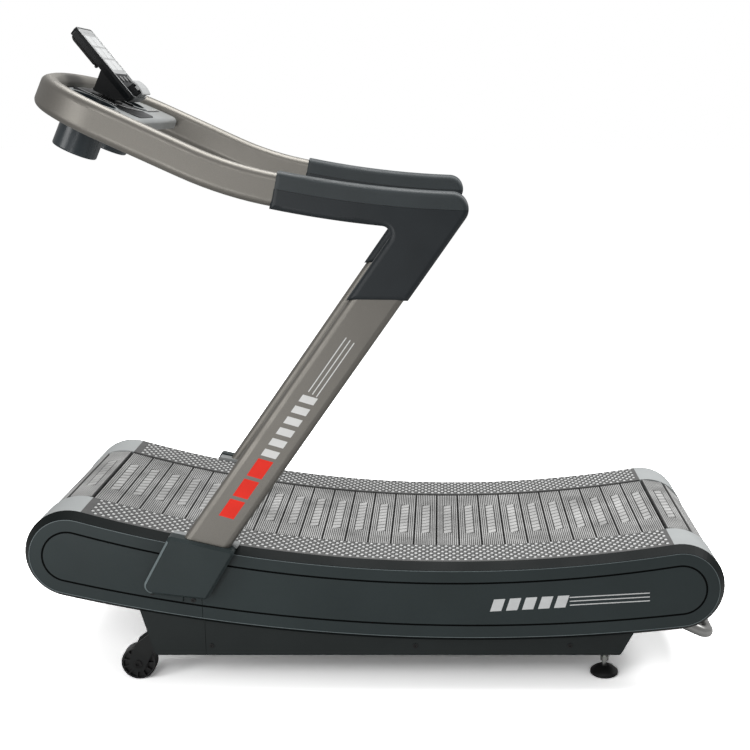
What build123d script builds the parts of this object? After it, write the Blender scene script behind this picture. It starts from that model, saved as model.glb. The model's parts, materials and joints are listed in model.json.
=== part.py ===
from build123d import *
import math
import os

# A curved manual treadmill, in millimetres. +X points to the rear (the runner faces -X), +Z is up,
# and the origin is on the floor under the middle of the machine. Left is the -Y side.

# ---- Running belt: a slatted loop of four tangent arcs --------------------------------------
SLAT_PITCH = 61.0
TOP_SLATS = 25
RETURN_SLATS = 26
WRAP_SLATS = 5
TOP_RADIUS = 3460.0  # pitch line of the upper run
SLAT_WIDTH = 58.6
SLAT_HALF_LENGTH = 216.0
BAR_THICKNESS = 5.0
TREAD_THICKNESS = 7.0
WEB_WIDTH = 8.0
WEB_DEPTH = 25.0
WEB_HALF_LENGTH = 170.0
DRIVE_BELT_TOP = 0.5  # below the pitch line
DRIVE_BELT_BOTTOM = 9.0
DRIVE_BELT_INNER_Y = 178.0
DRIVE_BELT_WIDTH = 25.0
RUNNING_GAP = 0.3
SEARCH_STEPS = 60  # halvings when a value is found by bisection

# ---- Deck -------------------------------------------------------------------------------------
DECK_MIDDLE = (0.0, 326.0)  # x and z of the point midway between the drums
DECK_TILT = 3.3  # degrees, front end higher
TOP_RISE = 109.0  # top of the covers and strips above the drum line
END_SHIFT = 6.0  # centres of the round ends below the drums
END_RADIUS = TOP_RISE + END_SHIFT
LIP_RADIUS = 4600.0  # lower edge of the covers
STRIP_INNER_Y = 220.0
RIM_INNER_Y = 341.0
COVER_Y = 366.0
COVER_WALL = 5.0
COVER_BEVEL = 16.0
GROOVE_INSET = 47.5
GROOVE_WIDTH = 5.0
GROOVE_DEPTH = 3.0
SEAM_X = -443.0
SEAM_GAP = 1.0
SHEET = 5.0  # thickness of strips and caps
COVER_SCREW_PLACES = ((-568.0, 269.0), (-465.0, 249.0))  # below the post covers
SCREW_RADIUS = 3.0
SCREW_HEAD_RADIUS = 6.0
SCREW_HEAD_HEIGHT = 2.5
FAR = 3000.0  # larger than the machine, for cutting shapes

# ---- Frame ------------------------------------------------------------------------------------
PLATE_INNER_Y = 224.0
PLATE_OUTER_Y = 230.0
RIB_OUTER_Y = 336.0
RIB_XS = (-560.0, -440.0, -180.0, 90.0, 340.0, 590.0)
RIB_THICKNESS = 6.0
TUBE_WALL = 3.0
BASE_RAIL_Y = 300.0
BASE_RAIL_SIZE = 50.0
BASE_RAIL_CORNER = 5.0
BASE_RAIL_BOTTOM = 92.0
BASE_RAIL_TOP = BASE_RAIL_BOTTOM + BASE_RAIL_SIZE
BASE_FRONT_X = -575.0
BASE_REAR_X = 640.0
CROSS_CHANNEL_XS = (-450.0, 95.0, 600.0)
CHANNEL_WIDTH = 40.0
CHANNEL_BOTTOM = 97.0
DECK_TUBE_SIZE = 40.0
DECK_TUBE_XS = (-480.0, 0.0, 480.0)  # along the deck
DECK_TUBE_DROP = 68.0

# ---- Shafts and bearings ----------------------------------------------------------------------
SHAFT_RADIUS = 12.5
SHAFT_HALF_LENGTH = 262.0
SHAFT_FIT = 0.05
SHAFT_CHAMFER = 1.0
BLOCK_SIZE = (100.0, 70.0, 30.0)
BLOCK_CORNER = 12.0
ROLLER_RADIUS = 15.0
ROLLER_INNER_Y = 184.0
ROLLER_WIDTH = 13.0
ROLLER_AXLE_RADIUS = 4.0
TOP_ROLLERS = 23
TOP_ROLLER_PITCH = 58.0
RETURN_ROLLERS = 5
RETURN_ROLLER_PITCH = 270.0

# ---- Posts and handlebar ----------------------------------------------------------------------
POST_TILT = 35.1  # degrees from upright, leaning to the rear
POST_FOOT = (-419.5, 410.0)  # on the centre line, where the post meets the deck
POST_DEPTH = 109.0
POST_WIDTH = 45.0
ARM_Y = 365.5  # middle of posts and side rails
POST_LEG = 150.0  # below the foot point, behind the post cover
POST_WALL = 4.0
POST_CORNER = 16.0
RAIL_WIDTH = 45.0
RAIL_DEPTH = 80.0
RAIL_CORNER = 19.0
LOOP_SLOPE = 24.5  # degrees, front of the loop higher
LOOP_FRONT = (-829.5, 1528.5)  # reference point of the loop plane
LOOP_SETBACK = 15.0  # from there to the middle of the bowed front tube
LOOP_BOW = 1200.0
LOOP_CORNER = 190.0
LOOP_STRAIGHT_END = 428.0  # along the slope
BEND_RADII = (920.0, 2580.0)
BEND_ANGLES = (12.5, 9.0)
ELBOW_PROUD = 5.5
ELBOW_CLEARANCE = 0.5

# ---- Wheels and feet --------------------------------------------------------------------------
WHEEL_AXLE = (-630.5, 45.5)
WHEEL_RADIUS = 45.5
WHEEL_INNER_Y = 264.0
WHEEL_WIDTH = 36.0
AXLE_RADIUS = 8.0
AXLE_FIT = 0.05
FOOT_X = 600.0  # on the rear cross channel
FOOT_Y = 263.0
STUD_RADIUS = 6.0
STUD_FIT = 0.08
PAD_RADIUS = 37.0

# ---- Console ----------------------------------------------------------------------------------
CONSOLE_BOTTOM = (201.8, 59.2)  # lower front edge, along and above the loop
CONSOLE_LEAN = 51.6  # degrees, face line from the horizontal
CONSOLE_HALF_WIDTH = 70.0
CONSOLE_HEIGHT = 225.0
BEZEL_THICKNESS = 8.0
CONSOLE_BACK_THICKNESS = 14.0
TILT_AXIS = (56.6, -55.2)  # up the face and out of it
TILT_PIN_RADIUS = 5.0
BUTTON_XS = (-38.0, 0.0, 38.0)
BUTTON_HEIGHT = 60.0
BUTTON_RADIUS = 9.0
BUTTON_TRAVEL = 1.5
TRAY_TOP = 18.0
TRAY_THICKNESS = 28.0
TRAY_REAR = 252.0
CUP_ALONG = 130.0
CUP_Y = 152.0
CUP_RADIUS = 57.0
CUP_DEPTH = 137.0
CUP_WALL = 3.0

os.makedirs("parts", exist_ok=True)


def save(piece, name):
    """Label a finished piece and write it as one STEP file."""
    piece.label = name
    export_step(piece, f"parts/{name}.step")


def both_sides(piece):
    """A left-hand piece together with its mirror image."""
    with BuildPart() as pair:
        add(piece)
        mirror(about=Plane.XZ)
    return pair.part


def save_sides(piece, name):
    """Write a left-hand piece and its mirror image as two parts."""
    with BuildPart() as right:
        mirror(piece, about=Plane.XZ)
    save(piece, f"left_{name}")
    save(right.part, f"right_{name}")


# ---- Belt loop geometry -------------------------------------------------------------------------
TOP_HALF_ANGLE = TOP_SLATS * SLAT_PITCH / TOP_RADIUS / 2


def return_run(drum_radius):
    """Half angle and radius of the return run for one drum radius."""
    half_angle = math.pi + TOP_HALF_ANGLE - WRAP_SLATS * SLAT_PITCH / drum_radius
    return half_angle, RETURN_SLATS * SLAT_PITCH / (2 * half_angle)


def drum_spacing_error(drum_radius):
    """Difference between the drum spacings that the upper and the return run need."""
    half_angle, radius = return_run(drum_radius)
    upper = (TOP_RADIUS + drum_radius) * math.sin(TOP_HALF_ANGLE)
    return upper - (radius - drum_radius) * math.sin(half_angle)


def solve_drum_radius(low=93.0, high=96.0):
    """Drum radius at which every arc holds a whole number of slats."""
    for _ in range(SEARCH_STEPS):
        middle = (low + high) / 2
        if drum_spacing_error(middle) < 0:
            low = middle
        else:
            high = middle
    return (low + high) / 2


DRUM_RADIUS = solve_drum_radius()
RETURN_HALF_ANGLE, RETURN_RADIUS = return_run(DRUM_RADIUS)
DRUM_X = (TOP_RADIUS + DRUM_RADIUS) * math.sin(TOP_HALF_ANGLE)  # along the deck
TOP_CENTRE = (TOP_RADIUS + DRUM_RADIUS) * math.cos(TOP_HALF_ANGLE)  # above the drum line
RETURN_CENTRE = (RETURN_RADIUS - DRUM_RADIUS) * math.cos(RETURN_HALF_ANGLE)

TILT_COS = math.cos(math.radians(DECK_TILT))
TILT_SIN = math.sin(math.radians(DECK_TILT))
# Deck coordinates: x runs along the drum line to the rear, y is square to it, the normal is -Y.
DECK = Plane(
    origin=(DECK_MIDDLE[0], 0, DECK_MIDDLE[1]),
    x_dir=(TILT_COS, 0, -TILT_SIN),
    z_dir=(0, -1, 0),
)


def deck(y):
    """Deck plane on the left side, y away from the middle."""
    return DECK.offset(y)


def side(y):
    """Upright plane on the left side, y away from the middle, with world x and z."""
    return Plane.XZ.offset(y)


def loop_face(end_radius, bottom_distance, end_shift=0.0):
    """Closed loop: hollow top, round ends centred end_shift below the drums, sagging bottom."""
    end_x = DRUM_X + end_shift * math.sin(TOP_HALF_ANGLE)
    end_y = -end_shift * math.cos(TOP_HALF_ANGLE)
    top_radius = TOP_RADIUS + DRUM_RADIUS + end_shift - end_radius
    bottom_radius = bottom_distance + end_radius
    bottom_half = math.asin(end_x / bottom_distance)
    bottom_centre = end_y + bottom_distance * math.cos(bottom_half)
    top_x = end_x - end_radius * math.sin(TOP_HALF_ANGLE)
    top_y = end_y + end_radius * math.cos(TOP_HALF_ANGLE)
    low_x = end_x + end_radius * math.sin(bottom_half)
    low_y = end_y - end_radius * math.cos(bottom_half)
    with BuildSketch() as face:
        with BuildLine():
            ThreePointArc((-top_x, top_y), (0, TOP_CENTRE - top_radius), (top_x, top_y))
            ThreePointArc((top_x, top_y), (end_x + end_radius, end_y), (low_x, low_y))
            ThreePointArc((low_x, low_y), (0, bottom_centre - bottom_radius), (-low_x, low_y))
            ThreePointArc((-low_x, low_y), (-end_x - end_radius, end_y), (-top_x, top_y))
        make_face()
    return face.sketch


def side_outline(inset):
    """Side outline of the deck, moved inwards by inset."""
    return loop_face(END_RADIUS - inset, LIP_RADIUS - END_RADIUS, END_SHIFT)


def belt_outline(depth):
    """Loop that lies depth inside the pitch line of the belt."""
    return loop_face(DRUM_RADIUS - depth, RETURN_RADIUS - DRUM_RADIUS)


# ---- Slats --------------------------------------------------------------------------------------
def upper_places(radius, count, pitch_angle):
    """Places spread along the upper run, with local y pointing out of the belt."""
    angles = [(i - (count - 1) / 2) * pitch_angle for i in range(count)]
    return [
        Location((radius * math.sin(a), TOP_CENTRE - radius * math.cos(a)), math.degrees(a))
        for a in angles
    ]


def return_places(radius, count, pitch_angle):
    """Places spread along the return run, with local y pointing out of the belt."""
    angles = [(i - (count - 1) / 2) * pitch_angle for i in range(count)]
    return [
        Location(
            (radius * math.sin(a), RETURN_CENTRE - radius * math.cos(a)),
            180 + math.degrees(a),
        )
        for a in angles
    ]


def wrap_places(end):
    """Slat places round one drum; end is 1 for the rear drum and -1 for the front one."""
    places = []
    for i in range(WRAP_SLATS):
        angle = -TOP_HALF_ANGLE + (i + 0.5) * SLAT_PITCH / DRUM_RADIUS
        x = DRUM_X + DRUM_RADIUS * math.sin(angle)
        y = DRUM_RADIUS * math.cos(angle)
        places.append(Location((end * x, y), -end * math.degrees(angle)))
    return places


def slat_bars(places):
    """T-shaped aluminium bars, each a flat plate with a web that points into the loop."""
    with BuildPart() as bars:
        with BuildSketch(DECK):
            with Locations(*places):
                Rectangle(SLAT_WIDTH, BAR_THICKNESS, align=(Align.CENTER, Align.MIN))
        extrude(amount=SLAT_HALF_LENGTH, both=True)
        with BuildSketch(DECK):
            with Locations(*places):
                Rectangle(WEB_WIDTH, WEB_DEPTH, align=(Align.CENTER, Align.MAX))
        extrude(amount=WEB_HALF_LENGTH, both=True)
    return bars.part


def slat_treads(places):
    """Rubber treads moulded on the bars, with rounded long edges."""
    with BuildPart() as treads:
        with BuildSketch(DECK):
            with Locations(*[place * Location((0, BAR_THICKNESS)) for place in places]):
                Rectangle(SLAT_WIDTH, TREAD_THICKNESS, align=(Align.CENTER, Align.MIN))
        extrude(amount=SLAT_HALF_LENGTH, both=True)
    return treads.part


RUNS = {
    "top": upper_places(TOP_RADIUS, TOP_SLATS, SLAT_PITCH / TOP_RADIUS),
    "return": return_places(RETURN_RADIUS, RETURN_SLATS, SLAT_PITCH / RETURN_RADIUS),
    "front": wrap_places(-1),
    "rear": wrap_places(1),
}
for run_name, run_places in RUNS.items():
    save(slat_bars(run_places), f"{run_name}_slat_bars")
    save(slat_treads(run_places), f"{run_name}_slat_treads")

# ---- Drive belts, pulleys and shafts -------------------------------------------------------------
with BuildPart() as drive_belt:
    with BuildSketch(deck(DRIVE_BELT_INNER_Y)):
        add(belt_outline(DRIVE_BELT_TOP))
        add(belt_outline(DRIVE_BELT_BOTTOM), mode=Mode.SUBTRACT)
    extrude(amount=DRIVE_BELT_WIDTH)
save(both_sides(drive_belt.part), "drive_belts")

PULLEY_RADIUS = DRUM_RADIUS - DRIVE_BELT_BOTTOM - RUNNING_GAP
PULLEY_HOLES = 6
PULLEY_HOLE_RADIUS = 15.0
PULLEY_HOLE_CIRCLE = 50.0
HUB_RADIUS = 26.0
HUB_LENGTH = 14.0


def pulley(end):
    """Flat-faced pulley with lightening holes and a hub on its inner side."""
    with BuildPart() as wheel:
        with BuildSketch(deck(DRIVE_BELT_INNER_Y)):
            with Locations((end * DRUM_X, 0)):
                Circle(PULLEY_RADIUS)
                with PolarLocations(PULLEY_HOLE_CIRCLE, PULLEY_HOLES):
                    Circle(PULLEY_HOLE_RADIUS, mode=Mode.SUBTRACT)
        extrude(amount=DRIVE_BELT_WIDTH)
        with BuildSketch(deck(DRIVE_BELT_INNER_Y)):
            with Locations((end * DRUM_X, 0)):
                Circle(HUB_RADIUS)
        extrude(amount=-HUB_LENGTH)
        with BuildSketch(deck(0)):
            with Locations((end * DRUM_X, 0)):
                Circle(SHAFT_RADIUS)
        extrude(amount=SHAFT_HALF_LENGTH, mode=Mode.SUBTRACT)
    return wheel.part


def shaft(end):
    """Plain steel shaft through one pair of pulleys."""
    with BuildPart() as bar:
        with BuildSketch(DECK):
            with Locations((end * DRUM_X, 0)):
                Circle(SHAFT_RADIUS)
        extrude(amount=SHAFT_HALF_LENGTH, both=True)
        end_edges = bar.edges().group_by(Axis.Y)[0] + bar.edges().group_by(Axis.Y)[-1]
        chamfer(end_edges, length=SHAFT_CHAMFER)
    return bar.part


for end_name, end in (("front", -1), ("rear", 1)):
    save(both_sides(pulley(end)), f"{end_name}_pulleys")
    save(shaft(end), f"{end_name}_shaft")

# ---- Bearing blocks and belt tensioners ----------------------------------------------------------
with BuildPart() as bearing_blocks:
    with BuildSketch(deck(PLATE_OUTER_Y)):
        with Locations((-DRUM_X, 0), (DRUM_X, 0)):
            RectangleRounded(BLOCK_SIZE[0], BLOCK_SIZE[1], BLOCK_CORNER)
            Circle(SHAFT_RADIUS + SHAFT_FIT, mode=Mode.SUBTRACT)
    extrude(amount=BLOCK_SIZE[2])
save(both_sides(bearing_blocks.part), "bearing_blocks")

TENSIONER_LUG_X = DRUM_X - 115.0
TENSIONER_LUG = (12.0, 40.0)
TENSIONER_SCREW_RADIUS = 5.0
TENSIONER_SCREW_TAIL = 25.0  # beyond the lug
with BuildPart() as tensioner:
    with BuildSketch(deck(PLATE_OUTER_Y)):
        with Locations((TENSIONER_LUG_X, 0)):
            Rectangle(*TENSIONER_LUG)
    extrude(amount=BLOCK_SIZE[2])
    block_front = DRUM_X - BLOCK_SIZE[0] / 2
    screw_y = PLATE_OUTER_Y + BLOCK_SIZE[2] / 2
    screw_start = Plane(
        origin=DECK.from_local_coords((block_front, 0, screw_y)),
        z_dir=DECK.x_dir,
    )
    with BuildSketch(screw_start):
        Circle(TENSIONER_SCREW_RADIUS)
    extrude(amount=-(block_front - TENSIONER_LUG_X + TENSIONER_SCREW_TAIL))
save(both_sides(tensioner.part), "belt_tensioners")

# ---- Track bearings ------------------------------------------------------------------------------
ROLLER_DEPTH = DRIVE_BELT_BOTTOM + RUNNING_GAP + ROLLER_RADIUS
TOP_ROLLER_RADIUS = TOP_RADIUS + ROLLER_DEPTH
RETURN_ROLLER_RADIUS = RETURN_RADIUS - ROLLER_DEPTH
ROLLER_PLACES = upper_places(
    TOP_ROLLER_RADIUS, TOP_ROLLERS, TOP_ROLLER_PITCH / TOP_ROLLER_RADIUS
) + return_places(
    RETURN_ROLLER_RADIUS, RETURN_ROLLERS, RETURN_ROLLER_PITCH / RETURN_ROLLER_RADIUS
)
AXLE_COLLAR_RADIUS = 7.0
AXLE_COLLAR_LENGTH = 5.0
with BuildPart() as track_bearings:
    with BuildSketch(deck(ROLLER_INNER_Y)):
        with Locations(*ROLLER_PLACES):
            Circle(ROLLER_RADIUS)
            Circle(ROLLER_AXLE_RADIUS, mode=Mode.SUBTRACT)
    extrude(amount=ROLLER_WIDTH)
save(both_sides(track_bearings.part), "track_bearings")

with BuildPart() as bearing_axles:
    with BuildSketch(deck(ROLLER_INNER_Y)):
        with Locations(*ROLLER_PLACES):
            Circle(ROLLER_AXLE_RADIUS)
    extrude(amount=PLATE_INNER_Y - ROLLER_INNER_Y)
    with BuildSketch(deck(PLATE_INNER_Y)):
        with Locations(*ROLLER_PLACES):
            Circle(AXLE_COLLAR_RADIUS)
    extrude(amount=-AXLE_COLLAR_LENGTH)
save(both_sides(bearing_axles.part), "bearing_axles")

# ---- Side frames ---------------------------------------------------------------------------------
SHAFT_HOLE_RADIUS = 30.0
with BuildPart() as rib_columns:
    with BuildSketch():
        with Locations(*[(x, -(PLATE_OUTER_Y + RIB_OUTER_Y) / 2) for x in RIB_XS]):
            Rectangle(RIB_THICKNESS, RIB_OUTER_Y - PLATE_OUTER_Y)
    extrude(amount=FAR)
with BuildPart() as side_frame:
    with BuildSketch(deck(PLATE_OUTER_Y)):
        add(side_outline(SHEET))
    with BuildSketch(side(PLATE_OUTER_Y)):
        with Locations(((BASE_FRONT_X + BASE_REAR_X) / 2, BASE_RAIL_TOP)):
            Rectangle(
                BASE_REAR_X - BASE_FRONT_X,
                DECK_MIDDLE[1] - BASE_RAIL_TOP,
                align=(Align.CENTER, Align.MIN),
            )
    extrude(amount=RIB_OUTER_Y - PLATE_OUTER_Y)
    add(rib_columns.part, mode=Mode.INTERSECT)
    with BuildSketch(deck(PLATE_INNER_Y)):
        add(side_outline(SHEET))
        with Locations((-DRUM_X, 0), (DRUM_X, 0)):
            Circle(SHAFT_HOLE_RADIUS, mode=Mode.SUBTRACT)
    extrude(amount=PLATE_OUTER_Y - PLATE_INNER_Y)
    split(bisect_by=Plane.XY.offset(BASE_RAIL_TOP), keep=Keep.TOP)
save_sides(side_frame.part, "side_frame")

with BuildPart() as deck_cross_tubes:
    with BuildSketch(DECK):
        with Locations(*[(x, -DECK_TUBE_DROP) for x in DECK_TUBE_XS]):
            Rectangle(DECK_TUBE_SIZE, DECK_TUBE_SIZE)
            Rectangle(
                DECK_TUBE_SIZE - 2 * TUBE_WALL,
                DECK_TUBE_SIZE - 2 * TUBE_WALL,
                mode=Mode.SUBTRACT,
            )
    extrude(amount=PLATE_INNER_Y, both=True)
save(deck_cross_tubes.part, "deck_cross_tubes")

# ---- Base frame ----------------------------------------------------------------------------------
HOLE_OVERRUN = 1.0
FOOT_BOSS_LENGTH = 32.0
RAIL_LENGTH = BASE_REAR_X - BASE_FRONT_X
with BuildPart() as base_frame:
    with BuildSketch(Plane.YZ.offset(BASE_FRONT_X)):
        for rail_side in (-1, 1):
            with Locations((rail_side * BASE_RAIL_Y, BASE_RAIL_BOTTOM + BASE_RAIL_SIZE / 2)):
                RectangleRounded(BASE_RAIL_SIZE, BASE_RAIL_SIZE, BASE_RAIL_CORNER)
                Rectangle(
                    BASE_RAIL_SIZE - 2 * TUBE_WALL,
                    BASE_RAIL_SIZE - 2 * TUBE_WALL,
                    mode=Mode.SUBTRACT,
                )
    extrude(amount=RAIL_LENGTH)
    channel_half = BASE_RAIL_Y - BASE_RAIL_SIZE / 2
    with BuildSketch(Plane.XZ):
        for channel_x in CROSS_CHANNEL_XS:
            with Locations((channel_x, CHANNEL_BOTTOM)):
                Rectangle(CHANNEL_WIDTH, CHANNEL_WIDTH, align=(Align.CENTER, Align.MIN))
                Rectangle(
                    CHANNEL_WIDTH - 2 * TUBE_WALL,
                    CHANNEL_WIDTH - TUBE_WALL,
                    align=(Align.CENTER, Align.MIN),
                    mode=Mode.SUBTRACT,
                )
    extrude(amount=channel_half, both=True)
    with BuildSketch(Plane.XY.offset(CHANNEL_BOTTOM)):
        for foot_side in (-1, 1):
            with Locations((FOOT_X, foot_side * (channel_half - FOOT_BOSS_LENGTH / 2))):
                Rectangle(CHANNEL_WIDTH - TUBE_WALL, FOOT_BOSS_LENGTH)
    extrude(amount=CHANNEL_WIDTH - TUBE_WALL)
    with BuildSketch(Plane.XY.offset(CHANNEL_BOTTOM - HOLE_OVERRUN)):
        with Locations((FOOT_X, -FOOT_Y), (FOOT_X, FOOT_Y)):
            Circle(STUD_RADIUS + STUD_FIT)
    extrude(amount=CHANNEL_WIDTH + 2 * HOLE_OVERRUN, mode=Mode.SUBTRACT)
save(base_frame.part, "base_frame")

# ---- Side covers ---------------------------------------------------------------------------------
COVER_SLANT = COVER_BEVEL / (COVER_Y - RIM_INNER_Y)
CAVITY_INSET = COVER_WALL + COVER_SLANT * (COVER_Y - COVER_WALL - RIM_INNER_Y)
with BuildPart() as side_cover:
    with BuildSketch(deck(RIM_INNER_Y)):
        add(side_outline(0))
    with BuildSketch(deck(COVER_Y)):
        add(side_outline(COVER_BEVEL))
    loft(ruled=True)
    with BuildSketch(deck(RIM_INNER_Y)):
        add(side_outline(COVER_WALL))
    with BuildSketch(deck(COVER_Y - COVER_WALL)):
        add(side_outline(CAVITY_INSET))
    loft(ruled=True, mode=Mode.SUBTRACT)
    with BuildSketch(deck(COVER_Y - GROOVE_DEPTH)):
        add(side_outline(GROOVE_INSET))
        add(side_outline(GROOVE_INSET + GROOVE_WIDTH), mode=Mode.SUBTRACT)
    extrude(amount=2 * GROOVE_DEPTH, mode=Mode.SUBTRACT)
    with BuildSketch(side(COVER_Y)):
        with Locations(*COVER_SCREW_PLACES):
            Circle(SCREW_RADIUS)
    extrude(amount=-COVER_WALL, mode=Mode.SUBTRACT)
for length_name, kept, seam_shift in (
    ("front", Keep.BOTTOM, -SEAM_GAP / 2),
    ("rear", Keep.TOP, SEAM_GAP / 2),
):
    with BuildPart() as cover_length:
        add(side_cover.part)
        split(bisect_by=Plane.YZ.offset(SEAM_X + seam_shift), keep=kept)
    save_sides(cover_length.part, f"{length_name}_side_cover")

# ---- Foot strips and end caps --------------------------------------------------------------------
FLANGE_DEPTH = 16.0
FLANGE_THICKNESS = 3.0
STRIP_HALF_LENGTH = DRUM_X - TOP_RISE * math.sin(TOP_HALF_ANGLE)
CAP_GAP = 0.5


def edge_band(strip_wall, region):
    """Thin sheet that follows the deck outline, with a flange beside the belt, cut by a region."""
    with BuildPart() as band:
        with BuildSketch(deck(STRIP_INNER_Y)):
            add(side_outline(0))
            add(side_outline(strip_wall), mode=Mode.SUBTRACT)
        extrude(amount=RIM_INNER_Y - STRIP_INNER_Y)
        with BuildSketch(deck(STRIP_INNER_Y)):
            add(side_outline(0))
            add(side_outline(FLANGE_DEPTH), mode=Mode.SUBTRACT)
        extrude(amount=FLANGE_THICKNESS)
        add(region, mode=Mode.INTERSECT)
    return band.part


CAP_REACH = 200.0
CAP_BOTTOM = -60.0
with BuildPart() as strip_cut:
    with BuildSketch(deck(0)):
        with Locations((0, CAP_BOTTOM)):
            Rectangle(2 * STRIP_HALF_LENGTH - CAP_GAP, FAR, align=(Align.CENTER, Align.MIN))
    extrude(amount=COVER_Y)
save_sides(edge_band(SHEET, strip_cut.part), "foot_strip")

with BuildPart() as cap_cut:
    with BuildSketch(deck(0)):
        for end in (-1, 1):
            with Locations((end * (STRIP_HALF_LENGTH + CAP_REACH / 2), CAP_BOTTOM)):
                Rectangle(CAP_REACH, FAR, align=(Align.CENTER, Align.MIN))
    extrude(amount=COVER_Y)
save(both_sides(edge_band(SHEET, cap_cut.part)), "end_caps")

# ---- Skirts --------------------------------------------------------------------------------------
SKIRT_INNER_Y = 336.5
SKIRT_THICKNESS = 4.0
SKIRT_CORNERS = ((-624.0, 262.0), (-574.0, 86.5), (631.0, 86.5), (684.0, 187.0), (200.0, 175.0))
SKIRT_ROUND = 9.0
SEAM_GROOVE_DEPTH = 1.5
SKIRT_SCREW_XS = (-428.0, 99.0, 499.0)
SKIRT_SCREW_Z = 113.0
SKIRT_OUTER_Y = SKIRT_INNER_Y + SKIRT_THICKNESS
skirt_screw_places = [(x, SKIRT_SCREW_Z) for x in SKIRT_SCREW_XS]
with BuildPart() as skirt:
    with BuildSketch(side(SKIRT_INNER_Y)) as skirt_face:
        Polygon(*SKIRT_CORNERS, align=None)
        fillet(skirt_face.vertices().group_by(Axis.Y)[0], radius=SKIRT_ROUND)
    extrude(amount=SKIRT_THICKNESS)
    with BuildSketch(side(SKIRT_OUTER_Y)):
        with Locations((SEAM_X, DECK_MIDDLE[1] / 2)):
            Rectangle(SEAM_GROOVE_DEPTH, DECK_MIDDLE[1])
    extrude(amount=-SEAM_GROOVE_DEPTH, mode=Mode.SUBTRACT)
    with BuildSketch(side(SKIRT_INNER_Y)):
        with Locations(*skirt_screw_places):
            Circle(SCREW_RADIUS)
    extrude(amount=SKIRT_THICKNESS, mode=Mode.SUBTRACT)
save(both_sides(skirt.part), "skirts")

# ---- Handlebar path ------------------------------------------------------------------------------
LOOP_COS = math.cos(math.radians(LOOP_SLOPE))
LOOP_SIN = math.sin(math.radians(LOOP_SLOPE))
# Loop plane: x runs rearwards down the slope from the front tube, y is world +Y, z is square to it.
LOOP = Plane(
    origin=(LOOP_FRONT[0], 0, LOOP_FRONT[1]),
    x_dir=(LOOP_COS, 0, -LOOP_SIN),
    z_dir=(LOOP_SIN, 0, LOOP_COS),
)


def loop_side(y):
    """Upright plane on the left side with the loop's own slope and height as its axes."""
    return Plane(LOOP.origin, x_dir=LOOP.x_dir, z_dir=(0, -1, 0)).offset(y)


def downhill(angle):
    """Unit vector square to a line that falls to the rear by angle degrees, pointing up."""
    return Vector(math.sin(math.radians(angle)), math.cos(math.radians(angle)))


REGION_END_SLOPE = -4.0  # past the rear end of the rail
REGION_HEIGHT = 300.0  # past the top of everything on the rail
BEND_SLOPES = (LOOP_SLOPE, LOOP_SLOPE - BEND_ANGLES[0], LOOP_SLOPE - sum(BEND_ANGLES))
BEND_START = Vector(*LOOP_FRONT) + Vector(LOOP_COS, -LOOP_SIN) * LOOP_STRAIGHT_END
BEND_CENTRES = [BEND_START + downhill(BEND_SLOPES[0]) * BEND_RADII[0]]
BEND_CENTRES.append(BEND_CENTRES[0] + downhill(BEND_SLOPES[1]) * (BEND_RADII[1] - BEND_RADII[0]))


def rail_point(bend, slope, height=0.0):
    """World x and z of a point height above the rail's centre line, where it falls by slope."""
    return BEND_CENTRES[bend] - downhill(slope) * (BEND_RADII[bend] - height)


def rail_arc(bend, first_slope, last_slope, height=0.0):
    """Arc along one bend of the rail between two slopes."""
    slopes = (first_slope, (first_slope + last_slope) / 2, last_slope)
    return ThreePointArc(*[rail_point(bend, slope, height) for slope in slopes])


def rail_region(low, first_slope):
    """Everything on the left above a height over the rail centre line, from a slope rearwards."""
    with BuildPart() as slab:
        with BuildSketch(side(0)):
            with BuildLine():
                rail_arc(1, first_slope, REGION_END_SLOPE, low)
                rail_arc(1, first_slope, REGION_END_SLOPE, REGION_HEIGHT)
                for slope in (first_slope, REGION_END_SLOPE):
                    Line(rail_point(1, slope, low), rail_point(1, slope, REGION_HEIGHT))
            make_face()
        extrude(amount=2 * ARM_Y)
    return slab.part


with BuildLine() as rear_bends:
    rail_arc(0, BEND_SLOPES[0], BEND_SLOPES[1])
    rail_arc(1, BEND_SLOPES[1], BEND_SLOPES[2])
BOW_CENTRE = LOOP_SETBACK + LOOP_BOW
CORNER_CENTRE_Y = ARM_Y - LOOP_CORNER
BOW_HALF_ANGLE = math.asin(CORNER_CENTRE_Y / (LOOP_BOW - LOOP_CORNER))
CORNER_CENTRE_X = BOW_CENTRE - (LOOP_BOW - LOOP_CORNER) * math.cos(BOW_HALF_ANGLE)


def loop_line(inset, rear):
    """Plan of the loop from arm to arm, inset from the centre line of the rail."""
    side_y = ARM_Y - inset
    corner_radius = LOOP_CORNER - inset
    bow_radius = LOOP_BOW - inset
    bow_end_x = BOW_CENTRE - bow_radius * math.cos(BOW_HALF_ANGLE)
    bow_end_y = bow_radius * math.sin(BOW_HALF_ANGLE)
    turn = (math.pi / 2 + BOW_HALF_ANGLE) / 2
    turn_x = CORNER_CENTRE_X - corner_radius * math.cos(turn)
    turn_y = CORNER_CENTRE_Y + corner_radius * math.sin(turn)
    with BuildLine() as line:
        Line((rear, -side_y), (CORNER_CENTRE_X, -side_y))
        ThreePointArc((CORNER_CENTRE_X, -side_y), (turn_x, -turn_y), (bow_end_x, -bow_end_y))
        ThreePointArc((bow_end_x, -bow_end_y), (BOW_CENTRE - bow_radius, 0), (bow_end_x, bow_end_y))
        ThreePointArc((bow_end_x, bow_end_y), (turn_x, turn_y), (CORNER_CENTRE_X, side_y))
        Line((CORNER_CENTRE_X, side_y), (rear, side_y))
    return line.line


left_bends = side(ARM_Y) * rear_bends.line
right_bends = side(-ARM_Y) * rear_bends.line
front_loop = LOOP * loop_line(0, LOOP_STRAIGHT_END)
loop_path = Wire(left_bends.edges() + front_loop.edges() + right_bends.edges())


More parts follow.
